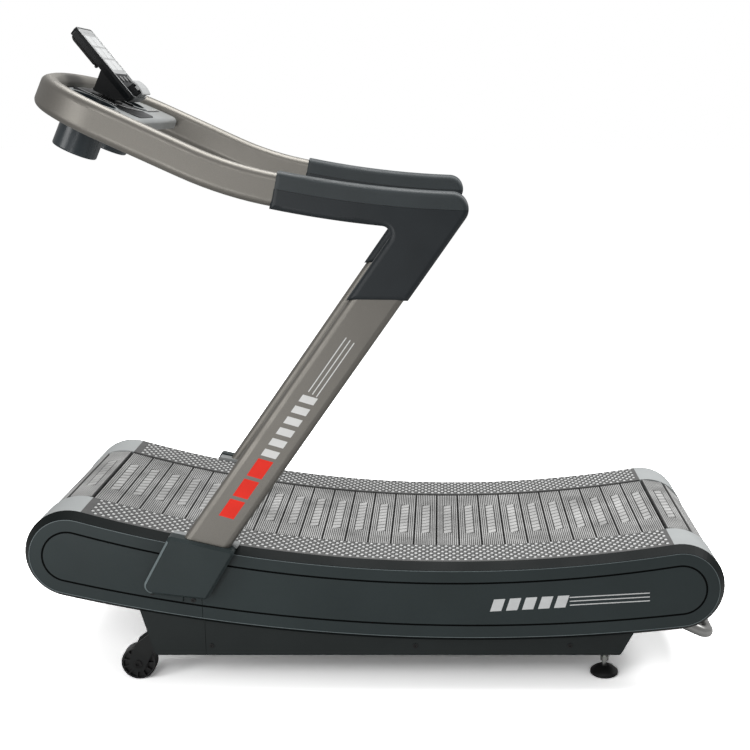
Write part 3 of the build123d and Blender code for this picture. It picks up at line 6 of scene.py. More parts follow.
import bmesh
import bpy
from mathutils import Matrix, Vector


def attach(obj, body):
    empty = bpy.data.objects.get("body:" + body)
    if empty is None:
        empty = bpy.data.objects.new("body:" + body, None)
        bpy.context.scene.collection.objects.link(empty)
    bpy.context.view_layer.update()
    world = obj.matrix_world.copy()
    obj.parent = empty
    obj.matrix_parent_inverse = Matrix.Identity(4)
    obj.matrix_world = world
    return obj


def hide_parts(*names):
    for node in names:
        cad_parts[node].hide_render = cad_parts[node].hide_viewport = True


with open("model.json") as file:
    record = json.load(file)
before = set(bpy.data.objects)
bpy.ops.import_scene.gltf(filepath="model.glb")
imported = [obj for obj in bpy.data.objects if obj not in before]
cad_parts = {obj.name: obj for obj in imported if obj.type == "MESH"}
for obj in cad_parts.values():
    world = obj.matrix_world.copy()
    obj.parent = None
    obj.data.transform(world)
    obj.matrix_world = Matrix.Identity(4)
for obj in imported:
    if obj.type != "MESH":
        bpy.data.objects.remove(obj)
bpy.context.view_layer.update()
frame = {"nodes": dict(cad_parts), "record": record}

# ---- Places on the machine ------------------------------------------------------------------
DECK_HEIGHT = 0.326
DECK_TILT = math.radians(3.3)
SLAT_PITCH = 0.061
TOP_SLATS = 25
RETURN_SLATS = 26
WRAP_SLATS = 5
TOP_RADIUS = 3.460
DRUM_RADIUS = 0.094697253
TOP_RISE = 0.109
END_SHIFT = 0.006
LIP_RADIUS = 4.6
TOP_HALF_ANGLE = TOP_SLATS * SLAT_PITCH / TOP_RADIUS / 2
DRUM_X = (TOP_RADIUS + DRUM_RADIUS) * math.sin(TOP_HALF_ANGLE)
TOP_CENTRE = (TOP_RADIUS + DRUM_RADIUS) * math.cos(TOP_HALF_ANGLE)
RETURN_HALF_ANGLE = math.pi + TOP_HALF_ANGLE - WRAP_SLATS * SLAT_PITCH / DRUM_RADIUS
RETURN_RADIUS = RETURN_SLATS * SLAT_PITCH / (2 * RETURN_HALF_ANGLE)
RETURN_CENTRE = (RETURN_RADIUS - DRUM_RADIUS) * math.cos(RETURN_HALF_ANGLE)
STRIP_RADIUS = TOP_RADIUS + DRUM_RADIUS - TOP_RISE
COVER_Y = 0.366
POST_FOOT = (-0.4195, 0.410)
POST_TILT = math.radians(35.1)
POST_OUTER_Y = 0.388
LOOP_FRONT = (-0.8295, 1.5285)
LOOP_SLOPE = math.radians(24.5)
CONSOLE_BOTTOM = (0.2018, 0.0592)
CONSOLE_LEAN = math.radians(51.6)


def deck_point(x, across, up):
    """Row-frame point from deck coordinates: x along the drum line, up square to it."""
    cos, sin = math.cos(DECK_TILT), math.sin(DECK_TILT)
    return Vector((x * cos + up * sin, across, DECK_HEIGHT - x * sin + up * cos))


def post_point(across, along, y):
    """Row-frame point on a post: across it towards the rear, and along it from its foot."""
    cos, sin = math.cos(POST_TILT), math.sin(POST_TILT)
    x = POST_FOOT[0] + across * cos + along * sin
    return Vector((x, y, POST_FOOT[1] - across * sin + along * cos))


def loop_point(along, y, height):
    """Row-frame point on the sloping front loop of the handlebar."""
    cos, sin = math.cos(LOOP_SLOPE), math.sin(LOOP_SLOPE)
    x = LOOP_FRONT[0] + along * cos + height * sin
    return Vector((x, y, LOOP_FRONT[1] - along * sin + height * cos))


def console_point(across, up, out):
    """Row-frame point on the console: across it, up its face and out of it."""
    base = loop_point(CONSOLE_BOTTOM[0], 0, CONSOLE_BOTTOM[1])
    cos, sin = math.cos(CONSOLE_LEAN), math.sin(CONSOLE_LEAN)
    return base + Vector((-up * cos + out * sin, across, up * sin + out * cos))


# ---- Mesh helpers ---------------------------------------------------------------------------
SEAT = 0.0002  # how far a detail sinks into the surface below it


class Shape:
    """Closed solids gathered into one mesh."""

    def __init__(self):
        self.points = []
        self.faces = []

    def rings(self, rings):
        """Closed solid through rings of points, with its two end rings filled."""
        count = len(rings[0])
        start = len(self.points)
        for ring in rings:
            self.points.extend(ring)
        for level in range(len(rings) - 1):
            low = start + level * count
            for i in range(count):
                j = (i + 1) % count
                self.faces.append((low + i, low + j, low + count + j, low + count + i))
        self.faces.append(tuple(range(start, start + count))[::-1])
        last = start + (len(rings) - 1) * count
        self.faces.append(tuple(range(last, last + count)))

    def prism(self, outline, low, high, place):
        """Outline of (a, b) points carried from low to high by place(a, b, level)."""
        self.rings([[place(a, b, level) for a, b in outline] for level in (low, high)])

    def bevelled(self, outline, inner, low, shoulder, high, place):
        """Prism whose top narrows from outline to inner above the shoulder."""
        base = [[place(a, b, level) for a, b in outline] for level in (low, shoulder)]
        self.rings(base + [[place(a, b, high) for a, b in inner]])

    def frame(self, outer, inner, low, high, place):
        """Flat frame between two outlines with the same number of points."""
        self.loop_tube(((outer, low), (outer, high), (inner, high), (inner, low)), place)

    def loop_tube(self, outlines, place):
        """Ring-shaped piece whose skin passes through (outline, level) pairs and back to the first."""
        layers = len(outlines)
        count = len(outlines[0][0])
        start = len(self.points)
        for outline, level in outlines:
            self.points.extend(place(a, b, level) for a, b in outline)
        for layer in range(layers):
            here, there = start + layer * count, start + (layer + 1) % layers * count
            for i in range(count):
                j = (i + 1) % count
                self.faces.append((here + i, here + j, there + j, there + i))

    def band(self, line, left, right, low, high, place):
        """Strip along a line of (a, b) points, from left to right of it."""
        rings = []
        for i, (a, b) in enumerate(line):
            before, after = line[max(i - 1, 0)], line[min(i + 1, len(line) - 1)]
            run = Vector((after[0] - before[0], after[1] - before[1])).normalized()
            near = (a - run.y * left, b + run.x * left)
            far = (a - run.y * right, b + run.x * right)
            rings.append([place(*near, low), place(*far, low), place(*far, high), place(*near, high)])
        self.rings(rings)

    def build(self, name, material, body, slot=None, smooth=False, second=None, split=0):
        """The finished piece, riding on its body. Faces from split on take the second material."""
        mesh = bpy.data.meshes.new(name)
        mesh.from_pydata(self.points, [], self.faces)
        work = bmesh.new()
        work.from_mesh(mesh)
        bmesh.ops.recalc_face_normals(work, faces=work.faces)
        for face in work.faces:
            face.smooth = smooth
        work.to_mesh(mesh)
        work.free()
        mesh.materials.append(material)
        if second:
            mesh.materials.append(second)
            for index in range(split, len(mesh.polygons)):
                mesh.polygons[index].material_index = 1
        piece = bpy.data.objects.new(name, mesh)
        bpy.context.scene.collection.objects.link(piece)
        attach(piece, body)
        return piece


def rectangle(a0, a1, b0, b1):
    return [(a0, b0), (a1, b0), (a1, b1), (a0, b1)]


def rounded(a0, a1, b0, b1, radius, steps=5):
    """Rectangle with round corners."""
    centres = (
        (a1 - radius, b1 - radius, 0),
        (a0 + radius, b1 - radius, 90),
        (a0 + radius, b0 + radius, 180),
        (a1 - radius, b0 + radius, 270),
    )
    return [
        (a + radius * math.cos(math.radians(turn + 90 * k / steps)),
         b + radius * math.sin(math.radians(turn + 90 * k / steps)))
        for a, b, turn in centres
        for k in range(steps + 1)
    ]


def circle(radius, steps=24, centre=(0.0, 0.0), turn=0.0):
    return [
        (centre[0] + radius * math.cos(2 * math.pi * k / steps + turn),
         centre[1] + radius * math.sin(2 * math.pi * k / steps + turn))
        for k in range(steps)
    ]


# ---- Materials ------------------------------------------------------------------------------
class Finish:
    """A Principled material built from procedural layers in object coordinates."""

    def __init__(self, name, colour, roughness, metallic=0.0, specular=0.5, coat=0.0):
        self.material = bpy.data.materials.new(name)
        self.material.use_nodes = True
        self.nodes = self.material.node_tree.nodes
        self.links = self.material.node_tree.links
        self.shader = self.nodes["Principled BSDF"]
        self.shader.inputs["Base Color"].default_value = (*colour, 1)
        self.shader.inputs["Roughness"].default_value = roughness
        self.shader.inputs["Metallic"].default_value = metallic
        self.shader.inputs["Specular IOR Level"].default_value = specular
        self.shader.inputs["Coat Weight"].default_value = coat
        self.colour = colour
        self.place = self.nodes.new("ShaderNodeTexCoord").outputs["Object"]
        self.normal = None

    def noise(self, scale, detail=3.0, stretch=None):
        """Noise over the object, stretched along one axis if asked."""
        node = self.nodes.new("ShaderNodeTexNoise")
        node.inputs["Scale"].default_value = scale
        node.inputs["Detail"].default_value = detail
        if stretch:
            mapping = self.nodes.new("ShaderNodeMapping")
            mapping.inputs["Scale"].default_value = stretch
            self.links.new(self.place, mapping.inputs["Vector"])
            self.links.new(mapping.outputs["Vector"], node.inputs["Vector"])
        else:
            self.links.new(self.place, node.inputs["Vector"])
        return node.outputs["Fac"]

    def mottle(self, scale, amount, stretch=None):
        """Vary the colour round its own value."""
        ramp = self.nodes.new("ShaderNodeValToRGB")
        ramp.color_ramp.elements[0].position = 0.3
        ramp.color_ramp.elements[1].position = 0.7
        ramp.color_ramp.elements[0].color = (*[c * (1 - amount) for c in self.colour], 1)
        ramp.color_ramp.elements[1].color = (*[c * (1 + amount) for c in self.colour], 1)
        self.links.new(self.noise(scale, stretch=stretch), ramp.inputs["Fac"])
        self.links.new(ramp.outputs["Color"], self.shader.inputs["Base Color"])
        return self

    def wear(self, scale, low, high, stretch=None):
        """Vary the roughness between low and high."""
        spread = self.nodes.new("ShaderNodeMapRange")
        spread.inputs["From Min"].default_value = 0.3
        spread.inputs["From Max"].default_value = 0.7
        spread.inputs["To Min"].default_value = low
        spread.inputs["To Max"].default_value = high
        self.links.new(self.noise(scale, stretch=stretch), spread.inputs["Value"])
        self.links.new(spread.outputs["Result"], self.shader.inputs["Roughness"])
        return self

    def grain(self, scale, strength, depth=0.0002, stretch=None):
        """Fine relief over whatever relief is there already."""
        bump = self.nodes.new("ShaderNodeBump")
        bump.inputs["Strength"].default_value = strength
        bump.inputs["Distance"].default_value = depth
        self.links.new(self.noise(scale, 2.0, stretch), bump.inputs["Height"])
        if self.normal:
            self.links.new(self.normal, bump.inputs["Normal"])
        self.normal = bump.outputs["Normal"]
        self.links.new(self.normal, self.shader.inputs["Normal"])
        return self


def make_finishes():
    """One material for each material slot of the record, and for each kind of added detail."""
    made = {
        "arm_metal": Finish("arm_metal", (0.190, 0.180, 0.162), 0.42, 0.74)
        .mottle(900, 0.12).wear(14, 0.40, 0.48).grain(1600, 0.12, 0.0001),
        "cover_plastic": Finish("cover_plastic", (0.019, 0.028, 0.029), 0.36, specular=0.32)
        .mottle(5, 0.10).wear(9, 0.32, 0.42).grain(1500, 0.20, 0.0001),
        # Near-black skin over the cover bevels: painted shade.
        "cover_rim_painted_shade": Finish("cover_rim_painted_shade", (0.004, 0.006, 0.006), 0.5, specular=0.12)
        .mottle(260, 0.10).wear(8, 0.46, 0.56).grain(1800, 0.10, 0.0001),
        # Near-black floor of the cover grooves: painted shade in the recess.
        "groove_painted_shade": Finish("groove_painted_shade", (0.0018, 0.0022, 0.0022), 0.85, specular=0.05)
        .mottle(260, 0.10).wear(8, 0.80, 0.90),
        # Light lines just inside the cover bevels and along the post cover fronts: painted highlight.
        "cover_highlight_line": Finish("cover_highlight_line", (0.13, 0.16, 0.165), 0.4)
        .mottle(260, 0.10).wear(8, 0.36, 0.46),
        "skirt_plastic": Finish("skirt_plastic", (0.014, 0.018, 0.018), 0.5, specular=0.25)
        .mottle(6, 0.10).wear(9, 0.45, 0.55).grain(1500, 0.20, 0.0001),
        "strip_plastic": Finish("strip_plastic", (0.085, 0.085, 0.084), 0.5, specular=0.4)
        .mottle(30, 0.12).wear(25, 0.42, 0.58).grain(1400, 0.3, 0.0001),
        # Studs much lighter than the strip they stand on: painted highlight.
        "strip_studs_painted_highlight": Finish("strip_studs_painted_highlight", (0.50, 0.505, 0.50), 0.30, specular=0.7)
        .mottle(60, 0.12).wear(60, 0.28, 0.42),
        "cap_silver": Finish("cap_silver", (0.44, 0.46, 0.46), 0.40, 0.4)
        .mottle(700, 0.06).wear(10, 0.34, 0.44).grain(1500, 0.10, 0.0001),
        "tread_rubber": Finish("tread_rubber", (0.045, 0.045, 0.044), 0.7, specular=0.3)
        .mottle(12, 0.22).wear(20, 0.62, 0.78).grain(1100, 0.3, 0.0002),
        # Ribs far lighter than the slab: the dark floors between the ribs are painted shade, and the rib
        # tops are partly painted light from above.
        "tread_ribs": Finish("tread_ribs", (0.34, 0.34, 0.335), 0.5, specular=0.4)
        .mottle(10, 0.25).wear(20, 0.42, 0.60).grain(1100, 0.3, 0.0002),
        "bar_aluminium": Finish("bar_aluminium", (0.55, 0.56, 0.56), 0.32, 1.0)
        .mottle(20, 0.08, (1, 0.05, 1)).wear(60, 0.26, 0.40, (1, 0.05, 1)),
        "belt_rubber": Finish("belt_rubber", (0.02, 0.02, 0.02), 0.7)
        .mottle(20, 0.2).grain(600, 0.3),
        "bearing_steel": Finish("bearing_steel", (0.5, 0.5, 0.5), 0.25, 1.0)
        .mottle(40, 0.08).wear(50, 0.2, 0.32),
        "frame_steel": Finish("frame_steel", (0.012, 0.013, 0.013), 0.42, specular=0.3)
        .mottle(15, 0.15).wear(20, 0.36, 0.5).grain(900, 0.25),
        "elbow_plastic": Finish("elbow_plastic", (0.009, 0.013, 0.016), 0.42, specular=0.4)
        .mottle(8, 0.12).wear(10, 0.40, 0.52).grain(1300, 0.22, 0.0001),
        "grip_rubber": Finish("grip_rubber", (0.026, 0.033, 0.036), 0.52, specular=0.4)
        .mottle(8, 0.12).wear(10, 0.46, 0.58).grain(900, 0.3, 0.0002),
        "tray_plastic": Finish("tray_plastic", (0.36, 0.375, 0.375), 0.28, 0.6)
        .mottle(700, 0.05).wear(10, 0.28, 0.40).grain(1500, 0.10, 0.0001),
        "panel_plastic": Finish("panel_plastic", (0.012, 0.013, 0.014), 0.4)
        .mottle(12, 0.12).wear(14, 0.34, 0.48).grain(1000, 0.25),
        "cup_plastic": Finish("cup_plastic", (0.016, 0.023, 0.028), 0.28, specular=0.55)
        .mottle(10, 0.12).wear(14, 0.24, 0.34).grain(1300, 0.12, 0.0001),
        "console_plastic": Finish("console_plastic", (0.004, 0.005, 0.006), 0.34, specular=0.2)
        .mottle(14, 0.15).wear(14, 0.28, 0.42).grain(1200, 0.2, 0.0001),
        "screen_glass": Finish("screen_glass", (0.42, 0.43, 0.43), 0.12, specular=0.8, coat=0.8)
        .mottle(6, 0.08).wear(10, 0.08, 0.14),
        "button_rubber": Finish("button_rubber", (0.12, 0.12, 0.12), 0.55)
        .mottle(60, 0.10).grain(900, 0.2),
        "rest_plastic": Finish("rest_plastic", (0.46, 0.47, 0.47), 0.25, 0.3)
        .mottle(40, 0.05).wear(20, 0.26, 0.36).grain(1300, 0.12, 0.0001),
        "collar_plastic": Finish("collar_plastic", (0.24, 0.25, 0.25), 0.42)
        .mottle(30, 0.06).wear(20, 0.36, 0.48).grain(1300, 0.15, 0.0001),
        "handle_metal": Finish("handle_metal", (0.34, 0.34, 0.33), 0.32, 0.9)
        .mottle(900, 0.08).wear(20, 0.26, 0.38).grain(1600, 0.1, 0.0001),
        "wheel_plastic": Finish("wheel_plastic", (0.009, 0.009, 0.009), 0.42)
        .mottle(25, 0.2).wear(30, 0.35, 0.5).grain(900, 0.3),
        "zinc_steel": Finish("zinc_steel", (0.60, 0.61, 0.58), 0.3, 1.0)
        .mottle(60, 0.12).wear(60, 0.22, 0.4),
        "screw_steel": Finish("screw_steel", (0.02, 0.02, 0.02), 0.35, 0.6)
        .mottle(60, 0.2).wear(60, 0.28, 0.45),
        "foot_rubber": Finish("foot_rubber", (0.007, 0.007, 0.007), 0.45)
        .mottle(25, 0.2).wear(30, 0.38, 0.55).grain(800, 0.3),
        "mark_red": Finish("mark_red", (0.80, 0.030, 0.016), 0.5, specular=0.2)
        .mottle(30, 0.05).wear(30, 0.45, 0.55),
        "mark_white": Finish("mark_white", (0.70, 0.70, 0.69), 0.5)
        .mottle(30, 0.04).wear(30, 0.45, 0.55),
        "mark_grey": Finish("mark_grey", (0.62, 0.63, 0.63), 0.4)
        .mottle(30, 0.05).wear(30, 0.35, 0.45),
        "bright_trim": Finish("bright_trim", (0.72, 0.73, 0.73), 0.22, 0.8)
        .mottle(80, 0.05).wear(60, 0.18, 0.28),
        "display_print": Finish("display_print", (0.52, 0.53, 0.53), 0.2, specular=0.6)
        .mottle(30, 0.05).wear(30, 0.16, 0.24),
    }
    return {name: finish.material for name, finish in made.items()}


FINISHES = make_finishes()
for subpart in frame["record"]["subparts"]:
    node = frame["nodes"][subpart["node"]]
    node.data.materials.clear()
    node.data.materials.append(FINISHES[subpart["material_slot"]])

# ---- Slat treads ----------------------------------------------------------------------------
SLAT_HALF_WIDTH = 0.0293
SLAT_HALF_LENGTH = 0.216
TREAD_BOTTOM = 0.005
TREAD_BASE = 0.0098
TREAD_SHOULDER = 0.0086
TREAD_TOP = 0.012
TREAD_BEVEL = 0.0012
RIB_BOTTOM = TREAD_BASE - 0.0003
RIB_COUNT = 11
RIB_PITCH = 0.0052
RIB_FOOT = 0.0017
RIB_CREST = 0.0012
RIB_END = 0.2135
CENTRE_RIBS = 5
GRIP_HALF_LENGTH = 0.118
GRIP_BARS = 9
GRIP_SLANT = 0.006
GRIP_HALF_HEIGHT = 0.0105
GRIP_BAR_WIDTH = 0.0215


def upper_places(radius, count):
    places = []
    for i in range(count):
        angle = (i - (count - 1) / 2) * SLAT_PITCH / radius
        places.append((radius * math.sin(angle), TOP_CENTRE - radius * math.cos(angle), angle))
    return places


def return_places(radius, count):
    places = []
    for i in range(count):
        angle = (i - (count - 1) / 2) * SLAT_PITCH / radius
        up = RETURN_CENTRE - radius * math.cos(angle)
        places.append((radius * math.sin(angle), up, math.pi + angle))
    return places


def wrap_places(end):
    """Slats round one drum; end is 1 for the rear drum and -1 for the front one."""
    places = []
    for i in range(WRAP_SLATS):
        angle = -TOP_HALF_ANGLE + (i + 0.5) * SLAT_PITCH / DRUM_RADIUS
        x = DRUM_X + DRUM_RADIUS * math.sin(angle)
        places.append((end * x, DRUM_RADIUS * math.cos(angle), -end * angle))
    return places


def slat_frame(place):
    """Mapping from (across the slat, height, along Y) to the row frame."""
    x, up, angle = place
    cos, sin = math.cos(angle), math.sin(angle)
    return lambda u, v, y: deck_point(x + u * cos - v * sin, y, up + u * sin + v * cos)


def add_slab(shape, place):
    """The body of one tread, with bevelled long edges."""
    half = SLAT_HALF_WIDTH
    slab = [
        (-half, TREAD_BOTTOM),
        (half, TREAD_BOTTOM),
        (half, TREAD_SHOULDER),
        (half - TREAD_BEVEL, TREAD_BASE),
        (-half + TREAD_BEVEL, TREAD_BASE),
        (-half, TREAD_SHOULDER),
    ]
    shape.prism(slab, -SLAT_HALF_LENGTH, SLAT_HALF_LENGTH, slat_frame(place))


def add_ribs(shape, place):
    """Fine ribs along one tread, and slanted grip bars in its middle."""
    at = slat_frame(place)
    for k in range(RIB_COUNT):
        middle = (k - (RIB_COUNT - 1) / 2) * RIB_PITCH
        rib = [
            (middle - RIB_FOOT, RIB_BOTTOM),
            (middle + RIB_FOOT, RIB_BOTTOM),
            (middle + RIB_CREST, TREAD_TOP),
            (middle - RIB_CREST, TREAD_TOP),
        ]
        if abs(k - (RIB_COUNT - 1) / 2) > CENTRE_RIBS / 2:
            shape.prism(rib, -RIB_END, RIB_END, at)
        else:
            shape.prism(rib, -RIB_END, -GRIP_HALF_LENGTH, at)
            shape.prism(rib, GRIP_HALF_LENGTH, RIB_END, at)
    step = 2 * GRIP_HALF_LENGTH / GRIP_BARS
    for k in range(GRIP_BARS):
        middle = (k - (GRIP_BARS - 1) / 2) * step
        low, high = middle - GRIP_BAR_WIDTH / 2, middle + GRIP_BAR_WIDTH / 2
        outline = [
            (-GRIP_HALF_HEIGHT, low - GRIP_SLANT),
            (-GRIP_HALF_HEIGHT, high - GRIP_SLANT),
            (GRIP_HALF_HEIGHT, high + GRIP_SLANT),
            (GRIP_HALF_HEIGHT, low + GRIP_SLANT),
        ]
        shape.prism(outline, RIB_BOTTOM, TREAD_TOP, lambda u, y, v: at(u, v, y))


RUNS = {
    "top": (upper_places(TOP_RADIUS, TOP_SLATS), "belt_top"),
    "return": (return_places(RETURN_RADIUS, RETURN_SLATS), "belt_return"),
    "front": (wrap_places(-1), "front_drum"),
    "rear": (wrap_places(1), "rear_drum"),
}
for run, (places, body) in RUNS.items():
    treads = Shape()
    for place in places:
        add_slab(treads, place)
    slab_faces = len(treads.faces)
    for place in places:
        add_ribs(treads, place)
    # Slabs dark, ribs light: the floors between the ribs carry painted shade.
    piece = treads.build(
        f"{run}_ribbed_treads",
        FINISHES["tread_rubber"],
        body,
        "tread_rubber",
        second=FINISHES["tread_ribs"],
        split=slab_faces,
    )
    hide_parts(f"{run}_slat_treads")

# ---- Foot strip studs, with painted highlight and painted shadows ---------------------------
STRIP_END_X = DRUM_X - TOP_RISE * math.sin(TOP_HALF_ANGLE)
STUD_PITCH = 0.0197
STUD_ROW_PITCH = 0.0138
STUD_FIRST_Y = 0.2305
STUD_ROWS = 8
STUD_MARGIN = 0.008
STUD_RINGS = ((0.0046, -SEAT), (0.0043, 0.0008), (0.0032, 0.0019), (0.0014, 0.0024))
STUD_STEPS = 10
# Painted shadows: dark discs shifted to one side of each stud, where its shade falls.
STUD_SHADOW_SHIFT = (-0.0040, 0.0052)
STUD_SHADOW_RADIUS = 0.0034
STUD_SHADOW_HEIGHT = 0.0003


def strip_frame(x, y):
    """Frame on the foot strip: along it, across the machine and out of it."""
    angle = math.asin(x / STRIP_RADIUS)
    cos, sin = math.cos(angle), math.sin(angle)

    def place(a, b, height):
        r = STRIP_RADIUS - height
        return deck_point(r * sin + a * cos, y + b, TOP_CENTRE - r * cos + a * sin)

    return place


def stud_places(sign):
    """Points (x, y) of the studs on one strip, in rows shifted by half a pitch in turn."""
    reach = STRIP_END_X - STUD_MARGIN
    count = int(reach / STUD_PITCH)
    found = []
    for row in range(STUD_ROWS):
        shift = STUD_PITCH / 2 if row % 2 else 0.0
        along = [k * STUD_PITCH + shift for k in range(-count, count + 1)]
        y = sign * (STUD_FIRST_Y + row * STUD_ROW_PITCH)
        found.extend((x, y) for x in along if abs(x) <= reach)
    return found


for side, sign in (("left", -1), ("right", 1)):
    studs = Shape()
    stud_shadows = Shape()
    for x, y in stud_places(sign):
        place = strip_frame(x, y)
        studs.rings([
            [place(a, b, height) for a, b in circle(radius, STUD_STEPS)]
            for radius, height in STUD_RINGS
        ])
        # Dark disc beside the stud: its painted shadow.
        stud_shadows.prism(circle(STUD_SHADOW_RADIUS, STUD_STEPS, STUD_SHADOW_SHIFT), -SEAT, STUD_SHADOW_HEIGHT, place)
    # The light stud finish is painted highlight.
    studs.build(f"{side}_strip_studs_painted_highlight", FINISHES["strip_studs_painted_highlight"], "root", "strip_plastic", smooth=True)
    stud_shadows.build(f"{side}_strip_painted_shadows", FINISHES["skirt_plastic"], "root")

# ---- Painted marks: plain stripes, no lettering ---------------------------------------------
MARK_THICKNESS = 0.0004
POST_MARK = (-0.016, 0.020)
RED_LENGTH = (0.078, 0.258)
WHITE_LENGTH = (0.268, 0.455)
LINE_LENGTH = (0.468, 0.632)
POST_LINES = ((-0.010, -0.0075), (0.0015, 0.004), (0.013, 0.0155))
SLANT = 0.012
RED_BARS = (3, 0.010)  # count and gap
WHITE_BARS = (6, 0.013)
GREY_BARS = (5, 0.012)
COVER_MARK_FOOT = (0.290, 0.218)
COVER_MARK_SLOPE = math.radians(3.4)
COVER_MARK_HEIGHT = 0.032
COVER_BOLD_LENGTH = 0.192
COVER_LINE_LENGTH = (0.204, 0.408)
COVER_LINES = ((0.004, 0.0065), (0.0145, 0.017), (0.025, 0.0275))


def slanted_bars(shape, low, high, start, end, count, gap, place):
    """Row of slanted bars between start and end, each from low to high across the row."""
    step = (end - start + gap) / count
    for k in range(count):
        a = start + k * step
        b = a + step - gap
        bar = [(low, a), (high, a + SLANT), (high, b + SLANT), (low, b)]
        shape.prism(bar, 0, MARK_THICKNESS, place)


def cover_point(along, height, out, sign):
    """Row-frame point on the face of a side cover, by the foot of its mark."""
    cos, sin = math.cos(COVER_MARK_SLOPE), math.sin(COVER_MARK_SLOPE)
    x = COVER_MARK_FOOT[0] + along * cos - height * sin
    return Vector((x, sign * (COVER_Y + out), COVER_MARK_FOOT[1] + along * sin + height * cos))


for side, sign in (("left", -1), ("right", 1)):
    def on_post(across, along, out):
        return post_point(across, along, sign * (POST_OUTER_Y + out))

    def on_cover(height, along, out):
        return cover_point(along, height, out, sign)

    red = Shape()
    slanted_bars(red, *POST_MARK, *RED_LENGTH, *RED_BARS, on_post)
    red.build(f"{side}_post_red_stripe", FINISHES["mark_red"], "root")
    white = Shape()
    slanted_bars(white, *POST_MARK, *WHITE_LENGTH, *WHITE_BARS, on_post)
    for low, high in POST_LINES:
        white.prism(rectangle(low, high, *LINE_LENGTH), 0, MARK_THICKNESS, on_post)
    white.build(f"{side}_post_white_stripe", FINISHES["mark_white"], "root")
    grey = Shape()
    slanted_bars(grey, 0, COVER_MARK_HEIGHT, 0, COVER_BOLD_LENGTH, *GREY_BARS, on_cover)
    for low, high in COVER_LINES:
        grey.prism(rectangle(low, high, *COVER_LINE_LENGTH), 0, MARK_THICKNESS, on_cover)
    grey.build(f"{side}_cover_stripe", FINISHES["mark_grey"], "root")

# ---- Side covers: painted shade on bevels and in grooves, painted highlight lines -----------
RUN_STEPS = 60
END_STEPS = 28
COVER_RIM_Y = 0.341
COVER_BEVEL = 0.016
GROOVE = (0.0476, 0.0524)
GROOVE_FLOOR = COVER_Y - 0.003
GROOVE_TOP = COVER_Y - 0.0006
RIM_SKIN = 0.0004
HIGHLIGHT_LINE_INSETS = (COVER_BEVEL + 0.0006, COVER_BEVEL + 0.0020)


def arc_points(centre, radius, start, end, steps):
    """Points along an arc, without its last one, with angles from upright towards the rear."""
    angles = [start + (end - start) * k / steps for k in range(steps)]
    return [(centre[0] + radius * math.sin(t), centre[1] + radius * math.cos(t)) for t in angles]


def side_outline(inset):
    """Outline of the side covers in deck coordinates, moved inwards by inset."""
    radius = TOP_RISE + END_SHIFT - inset
    end_x = DRUM_X + END_SHIFT * math.sin(TOP_HALF_ANGLE)
    end_z = -END_SHIFT * math.cos(TOP_HALF_ANGLE)
    lip_distance = LIP_RADIUS - TOP_RISE - END_SHIFT
    lip_half = math.asin(end_x / lip_distance)
    lip_centre = end_z + lip_distance * math.cos(lip_half)
    top_radius = TOP_RADIUS + DRUM_RADIUS + END_SHIFT - radius
    top = arc_points(
        (0, TOP_CENTRE), top_radius, math.pi + TOP_HALF_ANGLE, math.pi - TOP_HALF_ANGLE, RUN_STEPS
    )
    rear = arc_points((end_x, end_z), radius, -TOP_HALF_ANGLE, math.pi - lip_half, END_STEPS)
    lip = arc_points(
        (0, lip_centre), lip_distance + radius, math.pi - lip_half, math.pi + lip_half, RUN_STEPS
    )
    front = arc_points(
        (-end_x, end_z), radius, math.pi + lip_half, 2 * math.pi + TOP_HALF_ANGLE, END_STEPS
    )
    return top + rear + lip + front


for side, sign in (("left", -1), ("right", 1)):
    def beside_deck(x, z, y):
        return deck_point(x, sign * y, z)

    # Dark skin laid over the bevel round each side cover: painted shade on the bevel.
    rim_shade = Shape()
    rim_shade.loop_tube(
        (
            (side_outline(-RIM_SKIN), COVER_RIM_Y + RIM_SKIN),
            (side_outline(COVER_BEVEL - RIM_SKIN), COVER_Y + RIM_SKIN),
            (side_outline(COVER_BEVEL + 2 * RIM_SKIN), COVER_Y + RIM_SKIN),
            (side_outline(COVER_BEVEL + 2 * RIM_SKIN), COVER_Y - RIM_SKIN),
            (side_outline(2 * RIM_SKIN), COVER_RIM_Y + RIM_SKIN),
        ),
        beside_deck,
    )
    rim_shade.build(f"{side}_cover_rim_painted_shade", FINISHES["cover_rim_painted_shade"], "root", "cover_plastic")
    # Light line just inside the bevel: painted highlight where the edge catches the light.
    edge = Shape()
    edge.frame(
        side_outline(HIGHLIGHT_LINE_INSETS[0]),
        side_outline(HIGHLIGHT_LINE_INSETS[1]),
        COVER_Y - RIM_SKIN,
        COVER_Y + 2 * RIM_SKIN,
        beside_deck,
    )
    edge.build(f"{side}_cover_edge", FINISHES["cover_highlight_line"], "root", "cover_plastic")
    # Near-black sheet in the floor of each groove: painted shade in the recess.
    groove = Shape()
    groove.frame(
        side_outline(GROOVE[0]),
        side_outline(GROOVE[1]),
        GROOVE_FLOOR - SEAT,
        GROOVE_TOP,
        beside_deck,
    )
    groove.build(f"{side}_cover_groove", FINISHES["groove_painted_shade"], "root", "cover_plastic")

# ---- Painted highlight along the front edges of the post covers -----------------------------
EDGE_START = (-0.5197, 0.4187)  # x and z of the upper end
EDGE_CENTRE = (-0.5592, 0.3001)
EDGE_RADIUS = 0.022
EDGE_ANGLES = (151.5, 263.3)
EDGE_STEPS = 12
HIGHLIGHT_SECTION = ((0.0008, 0.0003), (0.0062, 0.0003), (0.0062, -0.0006), (0.0008, -0.0006))
POST_COVER_SHOULDER = 0.395


